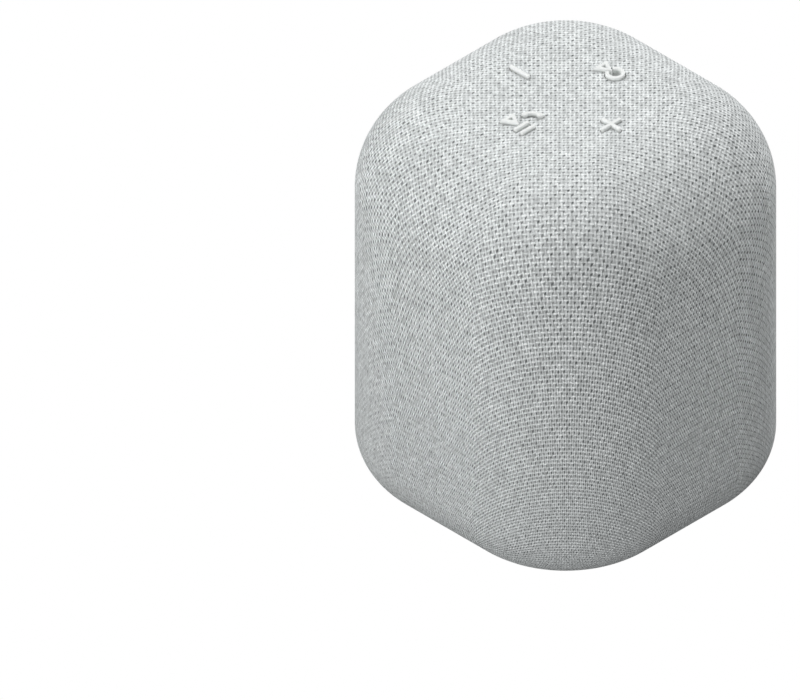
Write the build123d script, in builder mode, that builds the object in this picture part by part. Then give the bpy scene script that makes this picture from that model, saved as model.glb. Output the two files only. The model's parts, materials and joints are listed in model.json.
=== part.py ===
from build123d import *
from math import asin, cos, sin, sqrt
import os

# Compact cloth-covered wireless speaker, in millimetres.
# +Z is up, the front faces -Y, and the origin is on the table under the middle of the foot.

os.makedirs("parts", exist_ok=True)

# Driving dimensions of the outer form
WIDTH = 89.0
HEIGHT = 110.0
CORNER_R = 31.0
TOP_R = 25.5
BASE_R = 15.5
FOOT_PROUD = 0.8
CLOTH = 0.8
WALL = 2.0
FIT = 0.15
HALF = WIDTH / 2
SHELL_IN = HALF - CLOTH - WALL
SHELL_IN_R = CORNER_R - CLOTH - WALL
TOP_UNDER = HEIGHT - CLOTH - WALL

# Parting of the shell, with a lip inside it and a half-round snap bead on each side
PART_Z = 18.0
REAR_SPLIT = 26.0
LIP = 1.2
LIP_ROOT = 2.0
LIP_HIGH = 3.0
SNAP_R = 0.6
SNAP_W = 12.0

# Underside
PLATE_SIDE = 52.0
PLATE_R = 12.0
PLATE_LOW = FOOT_PROUD + 0.1
PLATE_HIGH = 3.3
PLATE_EDGE = 0.4
FOOT_SIDE = 48.0
FOOT_R = 10.0
FOOT_RIM = 5.0
FOOT_HOLE_R = 5.0
FOOT_TOP = 1.8
FOOT_EDGE = 0.3
FOOT_SCREW_AT = (FOOT_SIDE - FOOT_RIM) / 2
FOOT_SCREW_SEAT = FOOT_TOP + 0.9
FLOOR_TOP = 5.4
FLOOR_SIDE = WIDTH - 2 * BASE_R
FLOOR_SKIN = 0.6
POST_X = 16.0
POST_Y = 23.0
POST_R = 3.6
HEAD_SEAT = 12.0

# Slotted grille
SLOT_W = 3.2
SLOT_H = 17.0
SLOT_PITCH = 5.2
SLOT_COLUMNS = 9
SLOT_ROWS = 3
SLOT_ROW_PITCH = 21.0
SLOT_MID_Z = 58.0

# Top keys
KEY_RING = 15.35
PLAY_RING = 14.7
KEY_R = 6.4
KEY_TOP = HEIGHT - CLOTH - 0.2
KEY_FLANGE_R = 7.2
KEY_FLANGE = 0.8
KEY_ROOM = 2.0
PLUNGER_R = 2.4
RIB_TOP = HEIGHT + 0.9
RIB_ROUND = 0.3

# Raised symbols, each drawn about the middle of its key
STROKE = 0.95
DASH = 6.4
UPRIGHT = 6.5
ARROW_L = 4.05
ARROW_H = 4.6
QUICK_AT = (-3.75, 0.1)
RING_X = 1.25
RING_R = 1.9
RING_TURN = 280
PLAY_AT = (-4.1, -0.85)
BAR = 4.6
BAR_X = (0.8, 2.85)
HANDSET_AT = (1.1, 2.2)
HANDSET_R = 3.2
HANDSET_FROM = 95
HANDSET_TURN = 71
KNOB_R = 0.75
KNOB_BLEND = 0.4
SYMBOL_GAP = 0.25

# Control board under the keys
BOARD = 1.2
CONTROL_SIDE = 40.0
CONTROL_R = 9.0
CONTROL_TOP = 102.2
MAT = 0.6
MAT_INSET = 1.0
DOME_TOP = 104.6
DOME_BASE_R = 4.4
DOME_TIP_R = 2.6
DOME_SKIN = 0.8
BOSS_AT = 11.5
BOSS_R = 2.5
MIC_AT = 4.5
MIC_W = 3.5
MIC_D = 2.7
MIC_H = 1.0
MIC_ROOM = 0.9
MIC_HOLE_R = 0.6

# Cabinet
CAB_HALF = 31.0
CAB_R = 5.0
CAB_WALL = 2.4
CAB_EDGE = 1.5
CAB_LOW = 27.0
CAB_TOP = 94.0
SEAL = 0.8
CAB_BODY_LOW = CAB_LOW + CAB_WALL + SEAL
CAB_IN = CAB_HALF - CAB_WALL
BOSS_ROOT = 1.0
BOSS_DEEP = 5.0
CHASSIS_BOSS = 10.0
CHASSIS_WEB = 6.0

# Drivers: each depth is measured back from the driver's own front face
WOOFER_Z = 53.6
WOOFER_SIDE = 46.0
WOOFER_R = 7.0
WOOFER_FLANGE = 1.4
WOOFER_HOLE_R = 20.0
WOOFER_SCREW_AT = 19.0
WOOFER_FACE = -(CAB_HALF + SEAL + WOOFER_FLANGE)
RUBBER = 0.6
TWEETER_Z = 84.7
TWEETER_R = 7.6
TWEETER_BODY_R = 6.4
TWEETER_FLANGE = 1.6

# Passive radiators on the two sides
RAD_Z = 62.0
RAD_FRAME_W = 42.0
RAD_FRAME_H = 56.0
RAD_FRAME_R = 9.0
RAD_FRAME = 2.0
RAD_OPEN_W = 34.0
RAD_OPEN_H = 48.0
RAD_PLATE_W = 23.6
RAD_PLATE_H = 37.6
RAD_PLATE = 3.0
RAD_PLATE_EDGE = 0.8
RAD_GASKET = 0.6
RAD_FACE = CAB_HALF + RAD_GASKET + RAD_FRAME
RAD_SCREW_W = 18.0
RAD_SCREW_H = 25.0
RAD_ROLL = 2.2
RAD_ROLL_MID = 14.4
RAD_LAP_IN = 2.0
RAD_LAP_OUT = 1.6

# Rear panel, keys, socket and main board
PANEL_Z = 48.0
PANEL_W = 17.0
PANEL_H = 46.0
PANEL_FACE = HALF - 0.2
PANEL_EDGE = 0.4
PANEL_LEDGE = 1.4
PANEL_LEDGE_W = 1.5
PANEL_BACK = SHELL_IN - PANEL_LEDGE
POWER_Z = 62.0
PAIRING_Z = 50.0
SOCKET_Z = 35.0
REAR_KEY_R = 3.9
REAR_KEY_TOP = HALF - 0.1
REAR_KEY_ROUND = 0.5
REAR_FLANGE_W = 0.9
REAR_FLANGE = 0.8
REAR_STEM_R = 1.6
REAR_DOME = 3.0
REAR_DOME_BASE_R = 3.2
REAR_DOME_TIP_R = 1.8
MAIN_BACK = CAB_HALF + 2.4
MAIN_FACE = MAIN_BACK + BOARD
MAIN_W = 41.0
MAIN_R = 2.0
MAIN_LOW = 26.5
MAIN_HIGH = 86.0
MAIN_SCREW_X = 17.0
MAIN_SCREW_Z = (38.0, 80.0)
COVER_SCREW_X = 24.0
COVER_SCREW_Z = (36.0, 84.0)
COVER_FLOOR = 3.0
SOCKET_W = 9.0
SOCKET_H = 3.3
SOCKET_T = 0.3
SOCKET_FACE = 43.0
PLUG_W = 13.0
PLUG_H = 7.2
TONGUE_W = 6.6
TONGUE_T = 0.7
TONGUE_BLOCK = 1.4
TONGUE_SHORT = 0.8

# Battery
CELL_R = 9.2
CELL_LENGTH = 65.2
CELL_EDGE = 0.8
CELL_Y = 9.7
CELL_Z = 15.8
TRAY_L = 57.0
TRAY_W = 34.0
TRAY_H = 6.0
PAD_L = 40.0
PAD_W = 30.0
SOFT_R = 2.0
CELL_BOARD_W = 30.0
CELL_BOARD_H = 14.0
CELL_BOARD = 1.0

# Screws: shank, hole and head radii, head height, and the room left past a screw's end
SMALL = 1.0
SMALL_HOLE = 1.05
SMALL_HEAD = 1.9
SMALL_HEAD_H = 1.2
LOW_HEAD_H = 0.8
LARGE = 1.5
LARGE_HOLE = 1.6
LARGE_HEAD = 2.75
LARGE_HEAD_H = 2.4
SCREW_SPARE = 0.4

# Screw lengths
FOOT_SCREW = 2.0
CHASSIS_SCREW = 26.0
COVER_SCREW = 8.0
CONTROL_SCREW = 5.0
WOOFER_SCREW = 7.0
RAD_SCREW = 6.0
MAIN_SCREW = 4.0

KEY_PLACES = {
    "minus": (-KEY_RING, 0),
    "plus": (KEY_RING, 0),
    "play": (0, -PLAY_RING),
    "quick": (0, KEY_RING),
}
MIC_PLACES = [(-MIC_AT, MIC_AT), (MIC_AT, -MIC_AT)]
COVER_SCREW_PLACES = [(x, z) for x in (-COVER_SCREW_X, COVER_SCREW_X) for z in COVER_SCREW_Z]
MAIN_SCREW_PLACES = [(x, z) for x in (-MAIN_SCREW_X, MAIN_SCREW_X) for z in MAIN_SCREW_Z]


def save(piece, name):
    """Labels a finished piece and writes its STEP file."""
    piece.part.label = name
    export_step(piece.part, f"parts/{name}.step")


def front_plane(y):
    """Plane across the object at y, seen from the front, with Z up."""
    return Plane(origin=(0, y, 0), x_dir=(1, 0, 0), z_dir=(0, -1, 0))


def rear_plane(y):
    """Plane across the object at y, seen from the rear, with Z up."""
    return Plane(origin=(0, y, 0), x_dir=(-1, 0, 0), z_dir=(0, 1, 0))


def side_plane(side, x):
    """Plane across the left (-1) or right (+1) side, seen from outside, with Z up."""
    return Plane(origin=(side * x, 0, 0), x_dir=(0, side, 0), z_dir=(side, 0, 0))


def body_form(inset):
    """The soft rounded outer form, shrunk evenly by inset."""
    side = WIDTH - 2 * inset
    with BuildPart() as form:
        with BuildSketch(Plane.XY.offset(FOOT_PROUD + inset)):
            RectangleRounded(side, side, CORNER_R - inset)
        extrude(amount=HEIGHT - FOOT_PROUD - 2 * inset)
        fillet(form.edges().group_by(Axis.Z)[-1], TOP_R - inset)
        fillet(form.edges().group_by(Axis.Z)[0], BASE_R - inset)
    return form.part


def square_ring(outer, outer_r, inner, inner_r):
    """A rounded square ring in plan, given half its outer and inner widths."""
    with BuildSketch() as ring:
        RectangleRounded(2 * outer, 2 * outer, outer_r)
        RectangleRounded(2 * inner, 2 * inner, inner_r, mode=Mode.SUBTRACT)
    return ring.sketch


def snap_beads(grow=0.0):
    """Half-round beads on the four sides of the lip, or the slightly larger sockets for them."""
    with BuildPart() as beads:
        with Locations((0, 0, PART_Z + LIP_HIGH / 2)):
            with PolarLocations(SHELL_IN - FIT, 4):
                Cylinder(SNAP_R + grow, SNAP_W + 2 * grow, rotation=(90, 0, 0))
    return beads.part


def arrow(back, grow):
    """A triangle that points to +X from its back: an outline, or a whole cut-out when it is grown."""
    with BuildSketch() as outline:
        with Locations(back):
            outer = Polygon((0, ARROW_H / 2), (0, -ARROW_H / 2), (ARROW_L, 0), align=None)
        if grow:
            offset(amount=grow, kind=Kind.INTERSECTION, mode=Mode.REPLACE)
        else:
            offset(outer, amount=-STROKE, kind=Kind.INTERSECTION, mode=Mode.SUBTRACT)
    return outline.sketch


def handset(grow):
    """A telephone handset in plan: an arc with a knob at each end, blended into it."""
    with BuildSketch() as outline:
        arc = CenterArc(HANDSET_AT, HANDSET_R, HANDSET_FROM, HANDSET_TURN)
        SlotArc(arc, STROKE + 2 * grow)
        with Locations(arc @ 0, arc @ 1):
            Circle(KNOB_R + grow)
        fillet(outline.vertices(), KNOB_BLEND)
    return outline.sketch


def key_symbol(name, grow=0.0):
    """The raised symbol of one top key in plan, or its slightly larger cut-out in the cloth."""
    width = STROKE + 2 * grow
    with BuildSketch() as symbol:
        if name == "quick":
            add(arrow(QUICK_AT, grow))
            ring_at = (RING_X, QUICK_AT[1])
            SlotArc(CenterArc(ring_at, RING_R, -RING_TURN / 2, RING_TURN), width)
            if grow:
                with Locations(ring_at):
                    Circle(RING_R)
        elif name == "play":
            add(arrow(PLAY_AT, grow))
            with Locations(*[(x, PLAY_AT[1]) for x in BAR_X]):
                SlotOverall(BAR + 2 * grow, width, rotation=90)
            add(handset(grow))
        else:
            SlotOverall(DASH + 2 * grow, width)
            if name == "plus":
                SlotOverall(UPRIGHT + 2 * grow, width, rotation=90)
    return symbol.sketch


def screw(seat, length, shank_r=SMALL, head_r=SMALL_HEAD, head_h=SMALL_HEAD_H):
    """A screw whose head rests on the seat plane and whose shank runs against its normal."""
    with BuildPart() as fastener:
        with BuildSketch(seat):
            Circle(head_r)
        extrude(amount=head_h)
        with BuildSketch(seat):
            Circle(shank_r)
        extrude(amount=-length)
    return fastener.part


def bite(length, clamped):
    """Depth of a blind hole for a screw that clamps a thickness."""
    return length - clamped + SCREW_SPARE


CLOTH_FORM = body_form(0)
SHELL_FORM = body_form(CLOTH)
CAVITY_FORM = body_form(CLOTH + WALL)

# Cloth sleeve over the whole body, open underneath, at the rear panel and round the symbols
with BuildPart() as fabric_sleeve:
    add(CLOTH_FORM)
    add(SHELL_FORM, mode=Mode.SUBTRACT)
    with BuildSketch(Plane.XY):
        RectangleRounded(PLATE_SIDE + 4 * FIT, PLATE_SIDE + 4 * FIT, PLATE_R)
    extrude(amount=FLOOR_TOP, mode=Mode.SUBTRACT)
    with BuildSketch(rear_plane(HALF)):
        with Locations((0, PANEL_Z)):
            SlotOverall(PANEL_H + 2 * FIT, PANEL_W + 2 * FIT, rotation=90)
    extrude(amount=-2 * CLOTH, mode=Mode.SUBTRACT)
    for key, place in KEY_PLACES.items():
        with BuildSketch(Plane.XY.offset(HEIGHT)):
            with Locations(place):
                add(key_symbol(key, SYMBOL_GAP))
        extrude(amount=-2 * CLOTH, mode=Mode.SUBTRACT)
save(fabric_sleeve, "fabric_sleeve")

# Slotted shell: front, sides and top in one moulding
with BuildPart() as grille_shell:
    add(SHELL_FORM)
    add(CAVITY_FORM, mode=Mode.SUBTRACT)
    split(bisect_by=Plane.XY.offset(PART_Z), keep=Keep.TOP)
    split(bisect_by=front_plane(REAR_SPLIT), keep=Keep.TOP)
    add(snap_beads(FIT), mode=Mode.SUBTRACT)
    for face in (front_plane(-HALF), side_plane(-1, HALF), side_plane(1, HALF)):
        with BuildSketch(face):
            with Locations((0, SLOT_MID_Z)):
                with GridLocations(SLOT_PITCH, SLOT_ROW_PITCH, SLOT_COLUMNS, SLOT_ROWS):
                    Rectangle(SLOT_W, SLOT_H)
        extrude(amount=-HALF / 2, mode=Mode.SUBTRACT)
    with BuildSketch(Plane.XY.offset(TOP_UNDER)):
        with GridLocations(2 * BOSS_AT, 2 * BOSS_AT, 2, 2):
            Circle(BOSS_R)
    extrude(amount=CONTROL_TOP - TOP_UNDER)
    with BuildSketch(Plane.XY.offset(CONTROL_TOP)):
        with GridLocations(2 * BOSS_AT, 2 * BOSS_AT, 2, 2):
            Circle(SMALL_HOLE)
    extrude(amount=bite(CONTROL_SCREW, BOARD), mode=Mode.SUBTRACT)
    with BuildSketch(Plane.XY.offset(TOP_UNDER)):
        with Locations(*KEY_PLACES.values()):
            Circle(KEY_FLANGE_R + 2 * FIT)
    extrude(amount=-KEY_ROOM, mode=Mode.SUBTRACT)
    with BuildSketch(Plane.XY.offset(TOP_UNDER)):
        with Locations(*KEY_PLACES.values()):
            Circle(KEY_R + FIT)
        with Locations(*MIC_PLACES):
            Circle(MIC_HOLE_R)
    extrude(amount=2 * WALL, mode=Mode.SUBTRACT)
save(grille_shell, "grille_shell")

# Rear cover with tubular posts that stand on the cabinet
with BuildPart() as rear_cover:
    add(SHELL_FORM)
    add(CAVITY_FORM, mode=Mode.SUBTRACT)
    split(bisect_by=Plane.XY.offset(PART_Z), keep=Keep.TOP)
    split(bisect_by=front_plane(REAR_SPLIT), keep=Keep.BOTTOM)
    add(snap_beads(FIT), mode=Mode.SUBTRACT)
    with BuildSketch(rear_plane(CAB_HALF)):
        with Locations(*COVER_SCREW_PLACES):
            Circle(BOSS_R)
    extrude(amount=HALF - CAB_HALF)
    add(SHELL_FORM, mode=Mode.INTERSECT)
    with BuildSketch(rear_plane(CAB_HALF)):
        with Locations(*COVER_SCREW_PLACES):
            Circle(SMALL_HOLE)
    extrude(amount=HALF, mode=Mode.SUBTRACT)
    with BuildSketch(rear_plane(CAB_HALF + COVER_FLOOR)):
        with Locations(*COVER_SCREW_PLACES):
            Circle(SMALL_HEAD + FIT)
    extrude(amount=HALF, mode=Mode.SUBTRACT)
    with BuildSketch(rear_plane(HALF)):
        with Locations((0, PANEL_Z)):
            SlotOverall(PANEL_H + FIT, PANEL_W + FIT, rotation=90)
    extrude(amount=-2 * WALL - CLOTH, mode=Mode.SUBTRACT)
save(rear_cover, "rear_cover")

with BuildPart() as rear_cover_screws:
    for x, z in COVER_SCREW_PLACES:
        add(screw(Plane(origin=(x, CAB_HALF + COVER_FLOOR, z), z_dir=(0, 1, 0)), COVER_SCREW))
save(rear_cover_screws, "rear_cover_screws")

# Bowl that closes the shell below, with a lip inside it and four posts for the cabinet
with BuildPart() as base_bowl:
    add(SHELL_FORM)
    add(CAVITY_FORM, mode=Mode.SUBTRACT)
    split(bisect_by=Plane.XY.offset(PART_Z), keep=Keep.BOTTOM)
    lip_out = SHELL_IN - FIT
    lip_out_r = SHELL_IN_R - FIT
    root_out = SHELL_IN + WALL / 4
    root_out_r = SHELL_IN_R + WALL / 4
    with BuildSketch(Plane.XY.offset(PART_Z - LIP_ROOT)):
        add(square_ring(root_out, root_out_r, lip_out - LIP, lip_out_r - LIP))
    extrude(amount=LIP_ROOT)
    with BuildSketch(Plane.XY.offset(PART_Z)):
        add(square_ring(lip_out, lip_out_r, lip_out - LIP, lip_out_r - LIP))
    extrude(amount=LIP_HIGH)
    add(snap_beads())
    with BuildSketch(Plane.XY.offset(FOOT_PROUD + CLOTH)):
        RectangleRounded(FLOOR_SIDE, FLOOR_SIDE, CORNER_R - BASE_R)
    extrude(amount=FLOOR_TOP - FOOT_PROUD - CLOTH)
    with BuildSketch(Plane.XY.offset(FLOOR_TOP)):
        with GridLocations(2 * POST_X, 2 * POST_Y, 2, 2):
            Circle(POST_R)
    extrude(amount=CAB_LOW - FLOOR_TOP)
    with BuildSketch(Plane.XY):
        RectangleRounded(PLATE_SIDE + 2 * FIT, PLATE_SIDE + 2 * FIT, PLATE_R)
    extrude(amount=PLATE_HIGH, mode=Mode.SUBTRACT)
    with BuildSketch(Plane.XY):
        with GridLocations(2 * POST_X, 2 * POST_Y, 2, 2):
            Circle(LARGE_HEAD + FIT)
    extrude(amount=HEAD_SEAT, mode=Mode.SUBTRACT)
    with BuildSketch(Plane.XY):
        with GridLocations(2 * POST_X, 2 * POST_Y, 2, 2):
            Circle(LARGE_HOLE)
    extrude(amount=CAB_LOW, mode=Mode.SUBTRACT)
    with BuildSketch(Plane.XY):
        with PolarLocations(FOOT_SCREW_AT, 4):
            Circle(SMALL_HOLE)
    extrude(amount=FLOOR_TOP - FLOOR_SKIN, mode=Mode.SUBTRACT)
save(base_bowl, "base_bowl")

# Bottom plate: covers the cloth hem and the screw heads, and carries the foot in a groove
with BuildPart() as bottom_plate:
    with BuildSketch(Plane.XY.offset(PLATE_LOW)):
        RectangleRounded(PLATE_SIDE, PLATE_SIDE, PLATE_R)
    extrude(amount=PLATE_HIGH - PLATE_LOW)
    chamfer(bottom_plate.edges().group_by(Axis.Z)[0], PLATE_EDGE)
    with BuildSketch(Plane.XY.offset(PLATE_LOW)):
        add(square_ring(FOOT_SIDE / 2 + FIT, FOOT_R, FOOT_SIDE / 2 - FOOT_RIM - FIT, FOOT_HOLE_R))
    extrude(amount=FOOT_TOP - PLATE_LOW, mode=Mode.SUBTRACT)
    with BuildSketch(Plane.XY):
        with PolarLocations(FOOT_SCREW_AT, 4):
            Circle(SMALL_HOLE)
    extrude(amount=PLATE_HIGH, mode=Mode.SUBTRACT)
    with BuildSketch(Plane.XY):
        with PolarLocations(FOOT_SCREW_AT, 4):
            Circle(SMALL_HEAD + FIT)
    extrude(amount=FOOT_SCREW_SEAT, mode=Mode.SUBTRACT)
save(bottom_plate, "bottom_plate")

with BuildPart() as bottom_screws:
    for place in PolarLocations(FOOT_SCREW_AT, 4):
        seat = Plane(origin=(place.position.X, place.position.Y, FOOT_SCREW_SEAT), z_dir=(0, 0, -1))
        add(screw(seat, FOOT_SCREW, head_h=LOW_HEAD_H))
save(bottom_screws, "bottom_screws")

# Rubber foot: a rounded square ring, the lowest piece
with BuildPart() as foot_pad:
    with BuildSketch(Plane.XY):
        add(square_ring(FOOT_SIDE / 2, FOOT_R, FOOT_SIDE / 2 - FOOT_RIM, FOOT_HOLE_R))
    extrude(amount=FOOT_TOP)
    chamfer(foot_pad.edges().group_by(Axis.Z)[0], FOOT_EDGE)
save(foot_pad, "foot_pad")

with BuildPart() as chassis_screws:
    for place in GridLocations(2 * POST_X, 2 * POST_Y, 2, 2):
        seat = Plane(origin=(place.position.X, place.position.Y, HEAD_SEAT), z_dir=(0, 0, -1))
        add(screw(seat, CHASSIS_SCREW, LARGE, LARGE_HEAD, LARGE_HEAD_H))
save(chassis_screws, "chassis_screws")

# Top keys: a cap with its raised symbol, a flange that stops against the shell, and a plunger
for key, place in KEY_PLACES.items():
    with BuildPart() as top_key:
        with BuildSketch(Plane.XY.offset(TOP_UNDER)):
            with Locations(place):
                Circle(KEY_R)
        extrude(amount=KEY_TOP - TOP_UNDER)
        with BuildSketch(Plane.XY.offset(TOP_UNDER)):
            with Locations(place):
                Circle(KEY_FLANGE_R)
        extrude(amount=-KEY_FLANGE)
        with BuildSketch(Plane.XY.offset(DOME_TOP)):
            with Locations(place):
                Circle(PLUNGER_R)
        extrude(amount=TOP_UNDER - DOME_TOP)
        with BuildSketch(Plane.XY.offset(KEY_TOP)):
            with Locations(place):
                add(key_symbol(key))
        extrude(amount=RIB_TOP - KEY_TOP)
        fillet(top_key.edges().group_by(Axis.Z)[-1], RIB_ROUND)
    save(top_key, f"key_{key}")

# Silicone mat with a hollow dome under each key
with BuildPart() as key_mat:
    mat_side = CONTROL_SIDE - 2 * MAT_INSET
    dome_h = DOME_TOP - CONTROL_TOP
    dome_places = [(x, y, CONTROL_TOP) for x, y in KEY_PLACES.values()]
    standing = (Align.CENTER, Align.CENTER, Align.MIN)
    with BuildSketch(Plane.XY.offset(CONTROL_TOP)):
        RectangleRounded(mat_side, mat_side, CONTROL_R - MAT_INSET)
    extrude(amount=MAT)
    with Locations(*dome_places):
        Cone(DOME_BASE_R, DOME_TIP_R, dome_h, align=standing)
    with Locations(*dome_places):
        Cone(
            DOME_BASE_R - DOME_SKIN,
            DOME_TIP_R - DOME_SKIN,
            dome_h - DOME_SKIN,
            align=standing,
            mode=Mode.SUBTRACT,
        )
    with BuildSketch(Plane.XY.offset(CONTROL_TOP)):
        with GridLocations(2 * BOSS_AT, 2 * BOSS_AT, 2, 2):
            Circle(BOSS_R + FIT)
        with Locations(*MIC_PLACES):
            Rectangle(MIC_W + MIC_ROOM, MIC_D + MIC_ROOM)
    extrude(amount=MAT, mode=Mode.SUBTRACT)
save(key_mat, "key_mat")

with BuildPart() as control_board:
    with BuildSketch(Plane.XY.offset(CONTROL_TOP)):
        RectangleRounded(CONTROL_SIDE, CONTROL_SIDE, CONTROL_R)
        with GridLocations(2 * BOSS_AT, 2 * BOSS_AT, 2, 2):
            Circle(SMALL_HOLE, mode=Mode.SUBTRACT)
    extrude(amount=-BOARD)
save(control_board, "control_board")

with BuildPart() as control_board_screws:
    for place in GridLocations(2 * BOSS_AT, 2 * BOSS_AT, 2, 2):
        seat = Plane(origin=(place.position.X, place.position.Y, CONTROL_TOP - BOARD), z_dir=(0, 0, -1))
        add(screw(seat, CONTROL_SCREW))
save(control_board_screws, "control_board_screws")

with BuildPart() as microphones:
    with BuildSketch(Plane.XY.offset(CONTROL_TOP)):
        with Locations(*MIC_PLACES):
            Rectangle(MIC_W, MIC_D)
    extrude(amount=MIC_H)
save(microphones, "microphones")

# Cabinet: an upturned box with the driver openings, screw bosses and board standoffs
with BuildPart() as cabinet_body:
    with BuildSketch(Plane.XY.offset(CAB_BODY_LOW)):
        RectangleRounded(2 * CAB_HALF, 2 * CAB_HALF, CAB_R)
    extrude(amount=CAB_TOP - CAB_BODY_LOW)
    fillet(cabinet_body.edges().group_by(Axis.Z)[-1], CAB_EDGE)
    with BuildSketch(Plane.XY.offset(CAB_BODY_LOW)):
        RectangleRounded(2 * CAB_IN, 2 * CAB_IN, CAB_R - CAB_WALL)
    extrude(amount=CAB_TOP - CAB_BODY_LOW - CAB_WALL, mode=Mode.SUBTRACT)

    # Bosses for the chassis screws, each joined to the wall beside it by a web
    with BuildSketch(Plane.XY.offset(CAB_BODY_LOW)):
        with GridLocations(2 * POST_X, 2 * POST_Y, 2, 2):
            Circle(POST_R)
        with GridLocations(2 * POST_X, 2 * (CAB_IN + BOSS_ROOT) - CHASSIS_WEB, 2, 2):
            Rectangle(2 * POST_R, CHASSIS_WEB)
    extrude(amount=CHASSIS_BOSS)
    with BuildSketch(Plane.XY.offset(CAB_BODY_LOW)):
        with GridLocations(2 * POST_X, 2 * POST_Y, 2, 2):
            Circle(LARGE_HOLE)
    extrude(amount=bite(CHASSIS_SCREW, CAB_BODY_LOW - HEAD_SEAT), mode=Mode.SUBTRACT)

    # Front: bosses and holes for the woofer, and the two driver openings
    with BuildSketch(front_plane(-CAB_IN - BOSS_ROOT)):
        with Locations((0, WOOFER_Z)):
            with GridLocations(2 * WOOFER_SCREW_AT, 2 * WOOFER_SCREW_AT, 2, 2):
                Circle(BOSS_R)
    extrude(amount=-BOSS_DEEP)
    with BuildSketch(front_plane(-CAB_HALF)):
        with Locations((0, WOOFER_Z)):
            with GridLocations(2 * WOOFER_SCREW_AT, 2 * WOOFER_SCREW_AT, 2, 2):
                Circle(SMALL_HOLE)
    extrude(amount=-bite(WOOFER_SCREW, WOOFER_FLANGE + SEAL), mode=Mode.SUBTRACT)
    with BuildSketch(front_plane(-CAB_HALF)):
        with Locations((0, WOOFER_Z)):
            Circle(WOOFER_HOLE_R)
        with Locations((0, TWEETER_Z)):
            Circle(TWEETER_BODY_R + FIT)
    extrude(amount=-CAB_WALL - BOSS_DEEP, mode=Mode.SUBTRACT)

    # Sides: bosses, openings and holes for the passive radiators
    for side in (-1, 1):
        with BuildSketch(side_plane(side, CAB_IN + BOSS_ROOT)):
            with Locations((0, RAD_Z)):
                with GridLocations(2 * RAD_SCREW_W, 2 * RAD_SCREW_H, 2, 2):
                    Circle(BOSS_R)
        extrude(amount=-BOSS_DEEP)
        with BuildSketch(side_plane(side, CAB_HALF)):
            with Locations((0, RAD_Z)):
                SlotOverall(RAD_OPEN_H, RAD_OPEN_W, rotation=90)
        extrude(amount=-2 * CAB_WALL, mode=Mode.SUBTRACT)
        with BuildSketch(side_plane(side, CAB_HALF)):
            with Locations((0, RAD_Z)):
                with GridLocations(2 * RAD_SCREW_W, 2 * RAD_SCREW_H, 2, 2):
                    Circle(SMALL_HOLE)
        extrude(amount=-bite(RAD_SCREW, RAD_FRAME + RAD_GASKET), mode=Mode.SUBTRACT)

    # Rear: standoffs for the main board, bosses for the cover, and the holes in both
    with BuildSketch(rear_plane(CAB_HALF)):
        with Locations(*MAIN_SCREW_PLACES):
            Circle(BOSS_R)
    extrude(amount=MAIN_BACK - CAB_HALF)
    with BuildSketch(rear_plane(CAB_IN + BOSS_ROOT)):
        with Locations(*COVER_SCREW_PLACES):
            Circle(BOSS_R)
    extrude(amount=-BOSS_DEEP)
    with BuildSketch(rear_plane(MAIN_BACK)):
        with Locations(*MAIN_SCREW_PLACES):
            Circle(SMALL_HOLE)
    extrude(amount=-bite(MAIN_SCREW, BOARD), mode=Mode.SUBTRACT)
    with BuildSketch(rear_plane(CAB_HALF)):
        with Locations(*COVER_SCREW_PLACES):
            Circle(SMALL_HOLE)
    extrude(amount=-bite(COVER_SCREW, COVER_FLOOR), mode=Mode.SUBTRACT)
save(cabinet_body, "cabinet_body")

with BuildPart() as cabinet_seal:
    with BuildSketch(Plane.XY.offset(CAB_LOW + CAB_WALL)):
        add(square_ring(CAB_HALF, CAB_R, CAB_IN, CAB_R - CAB_WALL))
    extrude(amount=SEAL)
save(cabinet_seal, "cabinet_seal")

with BuildPart() as cabinet_floor:
    with BuildSketch(Plane.XY.offset(CAB_LOW)):
        RectangleRounded(2 * CAB_HALF, 2 * CAB_HALF, CAB_R)
        with GridLocations(2 * POST_X, 2 * POST_Y, 2, 2):
            Circle(LARGE_HOLE, mode=Mode.SUBTRACT)
    extrude(amount=CAB_WALL)
save(cabinet_floor, "cabinet_floor")

# Woofer, revolved about its axis: profile points are (radius, depth behind the flange face)
WOOFER = Plane(origin=(0, WOOFER_FACE, WOOFER_Z), x_dir=(1, 0, 0), z_dir=(0, 0, 1))
WOOFER_AXIS = Axis((0, 0, WOOFER_Z), (0, 1, 0))


def woofer_flange(thickness, front, hole):
    """The woofer's rounded square flange with its hole and screw holes."""
    with BuildPart() as flange:
        with BuildSketch(front_plane(front)):
            with Locations((0, WOOFER_Z)):
                RectangleRounded(WOOFER_SIDE, WOOFER_SIDE, WOOFER_R)
                Circle(hole, mode=Mode.SUBTRACT)
                with GridLocations(2 * WOOFER_SCREW_AT, 2 * WOOFER_SCREW_AT, 2, 2):
                    Circle(SMALL_HOLE, mode=Mode.SUBTRACT)
        extrude(amount=-thickness)
    return flange.part


with BuildPart() as woofer_gasket:
    add(woofer_flange(SEAL, WOOFER_FACE + WOOFER_FLANGE, WOOFER_HOLE_R))
save(woofer_gasket, "woofer_gasket")

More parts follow.
